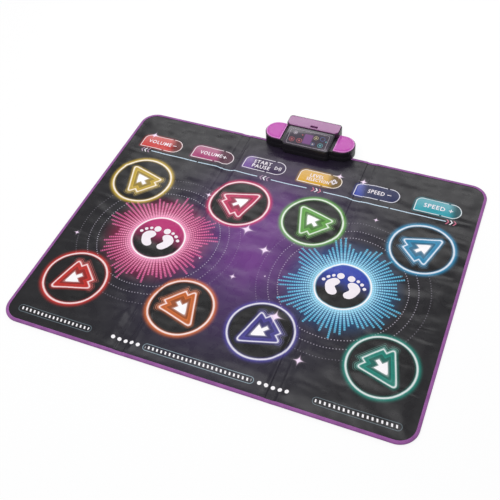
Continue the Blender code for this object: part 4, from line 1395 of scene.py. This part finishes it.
@dataclass
class Footprints:
    """The printed pairs of footprints in the two bursts: a sole and four toes on each foot."""

    thickness: float = 0.0001
    lift: float = 0.00012
    sole: tuple[tuple[float, float], ...] = (
        (0.0120, 0.0115), (0.0195, 0.0195), (0.0305, 0.0210), (0.0440, 0.0140), (0.0510, 0.0005),
        (0.0480, -0.0150), (0.0385, -0.0320), (0.0260, -0.0392), (0.0132, -0.0355), (0.0100, -0.0260),
        (0.0158, -0.0165), (0.0212, -0.0075), (0.0148, 0.0015))
    toes: tuple[tuple[float, float, float], ...] = (
        (0.0160, 0.0325, 0.0108), (0.0365, 0.0305, 0.0052), (0.0500, 0.0230, 0.0054),
        (0.0605, 0.0105, 0.0053))

    def build(self) -> None:
        """Print a pair on each side panel."""
        for place, zone in zip(BURST_PLACES, SIDE_ZONES):
            item = merged([self.foot(place, mirror) for mirror in (-1, 1)])
            divide_long(item, DRAPE_STEP)
            divide_at(item, VinylSheets().fold_lines(zone))
            SURFACE.drape(item, 0.0)
            finish_piece(item, f"{zone.name}_footprints", finish("white_ink"))
            zone.bend(item)

    def foot(self, centre: tuple[float, float], mirror: int) -> Item:
        """One foot as a filled flat curve, turned into a thin mesh.

        Args:
            centre: the middle of the pair.
            mirror: -1 for the left foot, 1 for the right.

        Returns:
            The foot.
        """
        data = bpy.data.curves.new("foot", "CURVE")
        data.dimensions = "2D"
        data.fill_mode = "BOTH"
        data.resolution_u = 5
        data.extrude = self.thickness / 2
        outlines = [self.sole] + [self.toe(*toe) for toe in self.toes]
        for outline in outlines:
            spline = data.splines.new("BEZIER")
            spline.use_cyclic_u = True
            spline.bezier_points.add(len(outline) - 1)
            for point, (x, y) in zip(spline.bezier_points, outline):
                point.co = (mirror * x, y, 0)
                point.handle_left_type = point.handle_right_type = "AUTO"
        item = linked("foot", data)
        item.location = (*centre, self.lift + self.thickness / 2)
        return as_mesh(item)

    @staticmethod
    def toe(x: float, y: float, radius: float) -> list[tuple[float, float]]:
        """A toe's round outline."""
        return [(x + radius * math.cos(turn), y + radius * math.sin(turn))
                for turn in (math.pi * step / 3 for step in range(6))]


class Symbol(Enum):
    """The signs beside the words on the control pads."""

    MINUS = "minus"
    PLUS = "plus"
    PLAY_PAUSE = "play_pause"
    FOUR_WAY = "four_way"


@dataclass(frozen=True)
class Label:
    """What one control pad says: words with their left and right ends, and a sign."""

    node: str
    words: tuple[tuple[str, float, float], ...]
    y: float
    symbol: Symbol
    symbol_x: float
    height: float = 0.0160


LABELS = (
    Label("volume_down_pad", (("VOLUME", -0.5270, -0.4420),), 0.3325, Symbol.MINUS, -0.4300),
    Label("volume_up_pad", (("VOLUME", -0.3370, -0.2570),), 0.3365, Symbol.PLUS, -0.2480),
    Label("start_pause_pad", (("START", -0.1475, -0.0860), ("PAUSE", -0.1475, -0.0860)), 0.3420,
          Symbol.PLAY_PAUSE, -0.0630),
    Label("level_select_pad", (("LEVEL", 0.0480, 0.0950), ("SELECTION", 0.0410, 0.1170)), 0.3400,
          Symbol.FOUR_WAY, 0.1300, 0.0140),
    Label("speed_down_pad", (("SPEED", 0.2430, 0.2970),), 0.3400, Symbol.MINUS, 0.3115, 0.0170),
    Label("speed_up_pad", (("SPEED", 0.4230, 0.4890),), 0.3345, Symbol.PLUS, 0.5070, 0.0170),
)


@dataclass
class ControlLabels:
    """The white words and signs printed on the six control pads."""

    thickness: float = 0.0001
    row_pitch: float = 1.25
    type_size: float = 1.4
    type_weight: float = 0.00035
    type_spacing: float = 1.12
    stroke: float = 0.0026
    arm: float = 0.0068
    play_shift: float = 0.0040
    play_radii: tuple[float, float] = (0.0098, 0.0058)
    pause_steps: tuple[float, float] = (0.0072, 0.0116)
    pause_half: tuple[float, float] = (0.0011, 0.0085)
    cross_reaches: tuple[float, float] = (0.0110, 0.0084)
    cross_arms: tuple[float, float] = (0.42, 0.26)
    point_step: float = 0.0052
    point_radius: float = 0.0026
    through: float = 4.0

    def build(self) -> None:
        """Print every label on its pad."""
        for label in LABELS:
            item = merged(self.words(label) + self.sign(label))
            divide_long(item, DRAPE_STEP)
            SURFACE.drape(item, -PadCovers.crown)
            finish_piece(item, f"{label.node}_label", finish("white_ink"))
            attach(item, label.node)

    def words(self, label: Label) -> list[Item]:
        """The label's words, one under the other, each stretched to its two ends.

        Args:
            label: what the pad says.

        Returns:
            One flat mesh for each word.
        """
        rows = []
        for row, (word, left, right) in enumerate(label.words):
            bpy.ops.object.text_add(location=(0, 0, self.thickness))
            item = bpy.context.active_object
            data = item.data
            data.body = word
            data.size = label.height * self.type_size
            data.extrude = self.thickness / 2
            data.offset = self.type_weight
            data.space_character = self.type_spacing
            data.resolution_u = 2
            centre = label.y - (row - (len(label.words) - 1) / 2) * label.height * self.row_pitch
            rows.append(self.fitted(as_mesh(item), (left, centre - label.height / 2),
                                    (right, centre + label.height / 2)))
        return rows

    @staticmethod
    def fitted(item: Item, low: Spot, high: Spot) -> Item:
        """Stretch a flat mesh to fill a rectangle.

        Args:
            item: the mesh.
            low: the rectangle's lowest corner.
            high: its highest corner.

        Returns:
            The mesh.
        """
        def rule(points: np.ndarray) -> np.ndarray:
            """Spread the points over the rectangle along both its sides.

            Args:
                points: the points.

            Returns:
                Their new places.
            """
            for axis in (0, 1):
                values = points[:, axis]
                share = (values - values.min()) / (values.max() - values.min())
                points[:, axis] = low[axis] + share * (high[axis] - low[axis])
            return points
        move_points(item, rule)
        return item

    def bar(self, x: float, y: float, half_x: float, half_y: float, deep: float = 1.0) -> Item:
        """A flat bar with softened ends, as many times as deep as the ink.

        Args:
            x: its middle across the mat.
            y: its middle along the mat.
            half_x: half its width.
            half_y: half its length.
            deep: how many times as deep as the ink.

        Returns:
            The bar.
        """
        half_z = deep * self.thickness / 2
        item = cube((x - half_x, y - half_y, self.thickness - half_z),
                    (x + half_x, y + half_y, self.thickness + half_z))
        round_edges(item, min(half_x, half_y) * 0.5, 2, upright)
        return item

    def sign(self, label: Label) -> list[Item]:
        """The label's sign, made of bars and wedges.

        Args:
            label: what the pad says.

        Returns:
            The sign's meshes.
        """
        x, y, thin = label.symbol_x, label.y, self.stroke / 2
        if label.symbol is Symbol.MINUS:
            return [self.bar(x, y, self.arm, thin)]
        if label.symbol is Symbol.PLUS:
            return [self.crossed(x, y, self.arm, thin)]
        if label.symbol is Symbol.PLAY_PAUSE:
            outer, hole = self.play_radii
            wedge = self.wedge(x - self.play_shift, y, outer, 0)
            carve(wedge, self.wedge(x - self.play_shift, y, hole, 0, self.through))
            return [wedge] + [self.bar(x + step, y, *self.pause_half) for step in self.pause_steps]
        (outer, hole), (wide, narrow) = self.cross_reaches, self.cross_arms
        upper = self.crossed(x, y, outer, outer * wide)
        carve(upper, self.crossed(x, y, hole, hole * narrow, self.through))
        return [upper] + [self.wedge(x + self.point_step * math.cos(turn),
                                     y + self.point_step * math.sin(turn), self.point_radius, turn)
                          for turn in (math.pi / 2 * step for step in range(4))]

    def crossed(self, x: float, y: float, reach: float, arm: float, deep: float = 1.0) -> Item:
        """Two crossed bars in one.

        Args:
            x: the middle across the mat.
            y: the middle along the mat.
            reach: half a bar's length.
            arm: half its width.
            deep: how many times as deep as the ink.

        Returns:
            The cross.
        """
        upper = self.bar(x, y, reach, arm, deep)
        carve(upper, self.bar(x, y, arm, reach, deep), Boolean.JOIN)
        return upper

    def wedge(self, x: float, y: float, radius: float, turn: float, deep: float = 1.0) -> Item:
        """A flat three-cornered wedge that points along an angle.

        Args:
            x: its middle across the mat.
            y: its middle along the mat.
            radius: from its middle to a corner.
            turn: the angle that it points along.
            deep: how many times as deep as the ink.

        Returns:
            The wedge.
        """
        bpy.ops.mesh.primitive_cylinder_add(vertices=3, radius=radius, depth=deep * self.thickness,
                                            location=(x, y, self.thickness),
                                            rotation=(0, 0, turn - math.pi / 2))
        item = added()
        round_edges(item, radius * 0.12, 2, upright)
        return item


@dataclass
class EdgeBinding:
    """The folded purple tape round the mat, with its line of stitches."""

    width: float = 0.0135
    top_width: float = 0.0092
    tape: float = 0.0007
    corner: float = 0.055
    corner_steps: int = 16
    step: float = 0.006
    band_points: int = 56
    side_points: int = 130
    stitch_pitch: float = 0.0062
    stitch_length: float = 0.0040
    stitch_radius: float = 0.00032
    stitch_inset: float = 0.0070

    def build(self) -> None:
        """Make the six stretches of tape and of stitching."""
        for side, zone in zip((-1, 1), SIDE_ZONES):
            self.stretch(zone, f"{zone.name}_side", self.side_route(side), f"{zone.name}_binding")
        for zone in ZONES[1:3]:
            for end, label in ((-1, "front"), (1, "back")):
                points = np.linspace(zone.low, zone.high, round((zone.high - zone.low) / self.step) + 1)
                route = [(x, end * MAT_HALF_DEPTH) for x in (points if end < 0 else points[::-1])]
                self.stretch(zone, f"{zone.name}_{label}", route, f"centre_{label}_binding")
        LOG.info("bindings round %.2f x %.2f m", 2 * MAT_HALF_WIDTH, 2 * MAT_HALF_DEPTH)

    def side_route(self, side: int) -> list[tuple[float, float]]:
        """The edge of a side panel from the front band to the back one, anticlockwise on the right.

        Args:
            side: -1 for the left panel, 1 for the right.

        Returns:
            The places on the route.
        """
        far_x, far_y, radius = MAT_HALF_WIDTH, MAT_HALF_DEPTH, self.corner
        ahead = np.linspace(BAND_MIDDLE, far_x - radius, self.band_points)
        points = [(x, -far_y) for x in ahead]
        for start, y in ((-90, radius - far_y), (0, far_y - radius)):
            points += [(far_x - radius + radius * math.cos(turn), y + radius * math.sin(turn))
                       for turn in (math.radians(start + 90 * step / self.corner_steps)
                                    for step in range(self.corner_steps + 1))]
            if start < 0:
                points += [(far_x, y) for y in np.linspace(radius - far_y, far_y - radius,
                                                           self.side_points)[1:-1]]
        points += [(x, far_y) for x in ahead[::-1]]
        points = [p for p, q in zip(points, points[1:]) if math.dist(p, q) > TINY] + [points[-1]]
        return points if side > 0 else [(-x, y) for x, y in points[::-1]]

    def profile(self) -> list[tuple[float, float]]:
        """The tape's section, as places outwards from the mat's edge and heights.

        Returns:
            The section's corners, in order round it.
        """
        top, tape, width = HEM_Z, self.tape, self.width
        outer = [(-width, 0.0001), (-0.0030, 0.0), (-0.0012, 0.0003), (-0.0003, 0.0013), (0.0, top / 2),
                 (-0.0003, top - 0.0014), (-0.0012, top - 0.0003), (-0.0030, top),
                 (-self.top_width, top - 0.0002)]
        inner = [(-self.top_width, top - tape - 0.0001), (-0.0032, top - tape), (-0.0012, top - 0.0016),
                 (-tape - 0.0001, top / 2), (-0.0012, 0.0016), (-0.0032, tape), (-width, tape + 0.0001)]
        return outer + inner

    def stretch(self, zone: Zone, name: str, route: list[tuple[float, float]], node: str) -> None:
        """One stretch of tape and its stitches along a route with the mat on its left.

        Args:
            zone: the stretch of the mat.
            name: the start of the pieces' names.
            route: the places that it follows.
            node: the CAD node that it stands for.
        """
        path = np.array(route)
        ahead = np.gradient(path, axis=0)
        ahead /= np.linalg.norm(ahead, axis=1)[:, None]
        out = np.stack([ahead[:, 1], -ahead[:, 0]], axis=1)
        shape = bmesh.new()
        rings = [[shape.verts.new((*(place + side * off), z)) for off, z in self.profile()]
                 for place, side in zip(path, out)]
        for ring, after in zip(rings, rings[1:]):
            for i in range(len(ring)):
                j = (i + 1) % len(ring)
                shape.faces.new((ring[i], ring[j], after[j], after[i]))
        shape.faces.new(rings[0][::-1])
        shape.faces.new(rings[-1])
        bmesh.ops.recalc_face_normals(shape, faces=shape.faces)
        mesh = bpy.data.meshes.new(name)
        shape.to_mesh(mesh)
        shape.free()
        item = linked(name, mesh)
        self.settle(item)
        finish_piece(item, f"{name}_tape", finish("tape"), 60)
        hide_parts(node)
        zone.bend(item)
        stitches = self.stitches(path, out, name)
        zone.bend(stitches)

    def settle(self, item: Item) -> None:
        """Press a stretch down where the mat has no foam.

        Args:
            item: the tape or its stitches.
        """
        def rule(points: np.ndarray) -> np.ndarray:
            """Lower each point by its share of the dip between the creases.

            Args:
                points: the points.

            Returns:
                Their new places.
            """
            side = np.abs(points[:, 0])
            dip = SURFACE.dip * smooth(side, CREASE_INNER - 0.001, CREASE_INNER + 0.004)
            dip = dip * (1 - smooth(side, CREASE_OUTER - 0.006, CREASE_OUTER))
            points[:, 2] -= dip * np.clip(points[:, 2] / SURFACE_Z, 0, 1)
            return points
        move_points(item, rule)

    def stitches(self, path: np.ndarray, out: np.ndarray, name: str) -> Item:
        """A row of short threads on the tape's upper side.

        Args:
            path: the tape's route.
            out: the way outwards at each of its places.
            name: the start of the piece's name.

        Returns:
            The stitches.
        """
        line = path - out * self.stitch_inset
        run = np.concatenate([[0], np.cumsum(np.linalg.norm(np.diff(line, axis=0), axis=1))])
        starts = np.arange(self.stitch_pitch / 2, run[-1] - self.stitch_length, self.stitch_pitch)
        data = bpy.data.curves.new("stitches", "CURVE")
        data.dimensions = "3D"
        data.bevel_depth = self.stitch_radius
        data.bevel_resolution = 0
        data.use_fill_caps = True
        top = HEM_Z + self.stitch_radius * 0.3
        for start in starts:
            spline = data.splines.new("POLY")
            spline.points.add(2)
            for point, share in zip(spline.points, (0.0, 0.5, 1.0)):
                at = start + share * self.stitch_length
                place = [float(np.interp(at, run, line[:, axis])) for axis in (0, 1)]
                point.co = (*place, top - self.stitch_radius * 1.2 * abs(2 * share - 1), 1)
        item = as_mesh(linked("stitches", data))
        self.settle(item)
        finish_piece(item, f"{name}_stitches", finish("thread"), 60)
        return item


@dataclass
class FoldWebs:
    """The welded webs under the vinyl between the creases."""

    end_inset: float = 0.0015
    foot: float = 0.0009
    edge_round: float = 0.0006

    def build(self) -> None:
        """Make one web for each fold band."""
        for label in ("left", "right"):
            node = f"{label}_fold_band"
            low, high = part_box(node)
            item = cube((low.x, low.y + self.end_inset, self.foot),
                        (high.x, high.y - self.end_inset, high.z))
            with editing(item):
                bpy.ops.mesh.subdivide(number_cuts=3)
            round_edges(item, self.edge_round, 3, self.sharp)
            finish_piece(item, f"{label}_fold_web", finish("underside"))
            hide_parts(node)
            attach(item, f"{label}_band")

    @staticmethod
    def sharp(edge: bmesh.types.BMEdge) -> bool:
        """Whether an edge is one of the block's own."""
        return len(edge.link_faces) == 2 and edge.calc_face_angle(0) > 1


# ---------------------------------------------------------------------------------------------
# The console


def refined(node: str, name: str, material: str, width: float, segments: int = 3,
            body: str = "centre_panel") -> Item:
    """A copy of a CAD node with its moulded edges rounded, which stands for the node.

    Args:
        node: the CAD node.
        name: the piece's name.
        material: the finish.
        width: how far the edges are rounded.
        segments: how finely the edges are rounded.
        body: the body that the piece rides.

    Returns:
        The piece.
    """
    item = linked(name, frame["nodes"][node].data.copy())
    with editing(item):
        bpy.ops.mesh.remove_doubles(threshold=TINY)
        bpy.ops.mesh.customdata_custom_splitnormals_clear()
        bpy.ops.mesh.dissolve_limited(angle_limit=math.radians(1.5))
    apply_modifier(item, "BEVEL", width=width, segments=segments, limit_method="ANGLE",
                   angle_limit=math.radians(25), harden_normals=False)
    finish_piece(item, name, finish(material), 50)
    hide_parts(node)
    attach(item, body)
    return item


@dataclass
class Console:
    """The battery console at the mat's back edge."""

    edge_round: float = 0.0012
    small_round: float = 0.0006
    rim_width: float = 0.0030
    lens_step: tuple[float, float] = (0.0012, 0.0009)
    lens_crown: tuple[float, float] = (0.0060, 0.0005)
    icon_height: float = 0.0002

    def build(self) -> None:
        """Make the housings, lenses, flap, window and its printed icons."""
        refined("console_upper_housing", "console_cover", "housing", self.edge_round)
        refined("console_lower_housing", "console_tray", "housing", self.small_round, 2)
        refined("phone_rest", "phone_rest_flap", "flap", 0.0011, 4, "phone_rest")
        refined("display_window", "display_glass", "window", 0.0004)
        refined("battery_door", "battery_cover", "housing", 0.0004, 2, "battery_door")
        refined("power_switch_knob", "power_switch_button", "switch", 0.0003, 2, "power_switch")
        for label in ("left", "right"):
            self.lens(label)
            refined(f"{label}_console_foot", f"{label}_rubber_foot", "foot", self.small_round, 2)
        self.icons()

    def lens(self, label: str) -> None:
        """One light lens: a raised, crowned face inside a paler sloping rim.

        Args:
            label: left or right.
        """
        node = f"{label}_light_lens"
        item = refined(node, f"{label}_lens", "lens", 0.0003, 2)
        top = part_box(node)[1].z
        item.data.materials.append(finish("rim"))
        with editing(item):
            select_faces(item, lambda face: face.normal.z > 0.99
                         and face.calc_center_median().z > top - 10 * TINY)
            bpy.ops.mesh.inset(thickness=self.rim_width, depth=0.0)
            item.active_material_index = 1
            bpy.ops.mesh.select_all(action="INVERT")
            bpy.ops.object.material_slot_assign()
            bpy.ops.mesh.select_all(action="INVERT")
            for thickness, depth in (self.lens_step, self.lens_crown):
                bpy.ops.mesh.inset(thickness=thickness, depth=depth)

    def slope(self) -> Matrix:
        """The matrix that carries a flat print onto the window's sloping face.

        Returns:
            The matrix.
        """
        low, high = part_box("display_window")
        points = [vertex.co for vertex in frame["nodes"]["display_window"].data.vertices]
        front, back = (max((p for p in points if abs(p.y - y) < 0.002), key=lambda p: p.z)
                       for y in (low.y, high.y))
        pitch = math.atan2(back.z - front.z, back.y - front.y)
        centre = Vector(((low.x + high.x) / 2, (front.y + back.y) / 2, (front.z + back.z) / 2))
        raised = Vector((0, -math.sin(pitch), math.cos(pitch))) * self.icon_height
        LOG.info("window slopes %.1f degrees", math.degrees(pitch))
        return Matrix.Translation(centre + raised) @ Matrix.Rotation(pitch, 4, "X")

    def ring(self, x: float, y: float, radius: float, width: float) -> Item:
        """A flat printed ring, or a disc where the width is the radius.

        Args:
            x: its middle across the window.
            y: its middle up the window.
            radius: its outer radius.
            width: how wide the ring is.

        Returns:
            The ring.
        """
        item = cylinder(radius, (x, y, 0), self.icon_height, 40)
        if width < radius:
            carve(item, cylinder(radius - width, (x, y, 0), 0.01, 40))
        return item

    def frame_line(self) -> Item:
        """The thin line round the display's lit field.

        Returns:
            The line.
        """
        half_x, line, corner = 0.0672, 0.0011, 0.006
        front, back = -0.0345, 0.0275
        outer = cube((-half_x, front, -self.icon_height / 2), (half_x, back, self.icon_height / 2))
        round_edges(outer, corner, 6, upright)
        inner = cube((line - half_x, front + line, -0.01), (half_x - line, back - line, 0.01))
        round_edges(inner, corner - 0.001, 6, upright)
        carve(outer, inner)
        return outer

    def icons(self) -> None:
        """The printed rings and marks of the display."""
        place = self.slope()
        groups = {
            "silver_ink": ((-0.048, 0.013, 0.0068, 0.0016), (-0.048, 0.013, 0.0034, 0.0034),
                           (0.021, -0.019, 0.0034, 0.0034)),
            "red_ink": ((-0.052, -0.016, 0.0094, 0.0017), (-0.026, -0.016, 0.0094, 0.0017),
                        (-0.052, -0.016, 0.0038, 0.0038), (-0.026, -0.016, 0.0038, 0.0038),
                        (-0.022, 0.009, 0.0026, 0.0026)),
            "amber_ink": ((0.025, 0.008, 0.0080, 0.0015), (0.025, 0.008, 0.0032, 0.0032)),
            "blue_ink": ((0.047, 0.009, 0.0088, 0.0015), (0.021, -0.019, 0.0072, 0.0013)),
            "cyan_ink": ((0.047, -0.018, 0.0088, 0.0017), (0.047, -0.018, 0.0036, 0.0036),
                         (0.061, 0.001, 0.0024, 0.0024)),
        }
        for ink, rings in groups.items():
            first = [self.frame_line()] if ink == "silver_ink" else []
            item = merged(first + [self.ring(*ring) for ring in rings])
            item.data.transform(place)
            finish_piece(item, f"display_{ink}", finish(ink))
            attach(item, "centre_panel")


def dress_nodes() -> None:
    """Give every CAD node that stays visible its material."""
    kinds = {"underside_sheet": "underside", "sensor_film": "film", "foam": "foam",
             "printed_vinyl": "vinyl", "purple_binding": "tape", "pad_cover": "vinyl",
             "black_housing": "housing", "magenta_gloss": "lens", "smoked_window": "window",
             "circuit_board": "board", "speaker_black": "speaker", "battery_cell": "cell",
             "plated_steel": "steel", "switch_plastic": "switch", "rubber_foot": "foot"}
    slots = {part["node"]: part["material_slot"] for part in frame["record"]["subparts"]}
    for name, item in frame["nodes"].items():
        item.data.materials.clear()
        item.data.materials.append(finish(kinds[slots[name]]))


# ---------------------------------------------------------------------------------------------
# The studio


@dataclass
class Studio:
    """The camera, floor and lights."""

    eye: tuple[float, float, float] = (0.655, -1.3855, 1.772)
    target: tuple[float, float, float] = (0.0231, 0.0096, 0.0)
    roll: float = -3.935
    lens: float = 56.56
    shift_x: float = -0.03
    floor_size: float = 14.0
    floor_colour: Colour = (0.86, 0.86, 0.87)
    floor_white: float = 1.04
    floor_share: float = 0.80
    surround: float = 0.52
    # Each lamp's place, its two sides and its power
    lamps: tuple[tuple[Spot, Spot, float], ...] = (
        ((-0.3, -0.2, 2.8), (2.2, 2.2), 34.0), ((-0.35, 1.95, 1.45), (2.6, 1.0), 15.0))

    def build(self) -> None:
        """Set up the picture."""
        self.camera()
        self.floor()
        self.lights()
        bpy.context.scene.view_settings.view_transform = "Standard"

    def camera(self) -> None:
        """The camera at the viewer's place."""
        data = bpy.data.cameras.new("camera")
        data.lens = self.lens
        data.sensor_width = 36.0
        data.shift_x = self.shift_x
        item = bpy.data.objects.new("camera", data)
        bpy.context.scene.collection.objects.link(item)
        item.location = self.eye
        ahead = Vector(self.target) - Vector(self.eye)
        item.rotation_mode = "QUATERNION"
        item.rotation_quaternion = (ahead.to_track_quat("-Z", "Y")
                                    @ Quaternion((0, 0, 1), math.radians(self.roll)))
        bpy.context.scene.camera = item

    def floor(self) -> None:
        """A white floor that keeps a soft shadow."""
        bpy.ops.mesh.primitive_plane_add(size=self.floor_size, location=(0, 0, -0.0004))
        item = added()
        g = Graph("studio_floor")
        paths = g.nodes.new("ShaderNodeLightPath")
        seen = Field(g, paths.outputs["Is Camera Ray"]).most(Field(g, paths.outputs["Is Glossy Ray"]))
        seen = seen.most(Field(g, paths.outputs["Is Transmission Ray"]))
        paint = g.nodes.new("ShaderNodeBsdfDiffuse")
        g.feed(paint.inputs["Color"], self.floor_colour)
        lit = g.nodes.new("ShaderNodeEmission")
        g.feed(lit.inputs["Strength"], self.floor_white)
        blend = g.nodes.new("ShaderNodeMixShader")
        g.feed(blend.inputs[0], seen * self.floor_share)
        g.links.new(paint.outputs[0], blend.inputs[1])
        g.links.new(lit.outputs[0], blend.inputs[2])
        output = g.nodes.new("ShaderNodeOutputMaterial")
        g.links.new(blend.outputs[0], output.inputs[0])
        item.name = "studio_floor"
        item.data.materials.append(g.material)

    def lights(self) -> None:
        """An even surround, with a large lamp above and one behind that gives the vinyl its sheen."""
        world = bpy.data.worlds.new("studio")
        bpy.context.scene.world = world
        world.use_nodes = True
        nodes, links = world.node_tree.nodes, world.node_tree.links
        background = nodes["Background"]
        background.inputs["Color"].default_value = (1, 1, 1, 1)
        paths = nodes.new("ShaderNodeLightPath")
        seen = nodes.new("ShaderNodeMapRange")
        seen.inputs["To Min"].default_value = self.surround
        seen.inputs["To Max"].default_value = 1.0
        links.new(paths.outputs["Is Camera Ray"], seen.inputs["Value"])
        links.new(seen.outputs[0], background.inputs["Strength"])
        for place, size, power in self.lamps:
            data = bpy.data.lights.new("lamp", "AREA")
            data.shape = "RECTANGLE"
            data.size, data.size_y = size
            data.energy = power
            item = bpy.data.objects.new("lamp", data)
            bpy.context.scene.collection.objects.link(item)
            item.location = place
            item.rotation_euler = (-Vector(place)).to_track_quat("-Z", "Y").to_euler()


def main() -> None:
    """Build every sub-assembly in order."""
    logging.basicConfig(level=logging.INFO, format="%(message)s", stream=sys.stdout)
    Studio().build()
    dress_nodes()
    VinylSheets().build()
    BaseSheets().build()
    PadCovers().build()
    Footprints().build()
    ControlLabels().build()
    EdgeBinding().build()
    FoldWebs().build()
    Console().build()
    deselect()


if __name__ == "__main__":
    main()
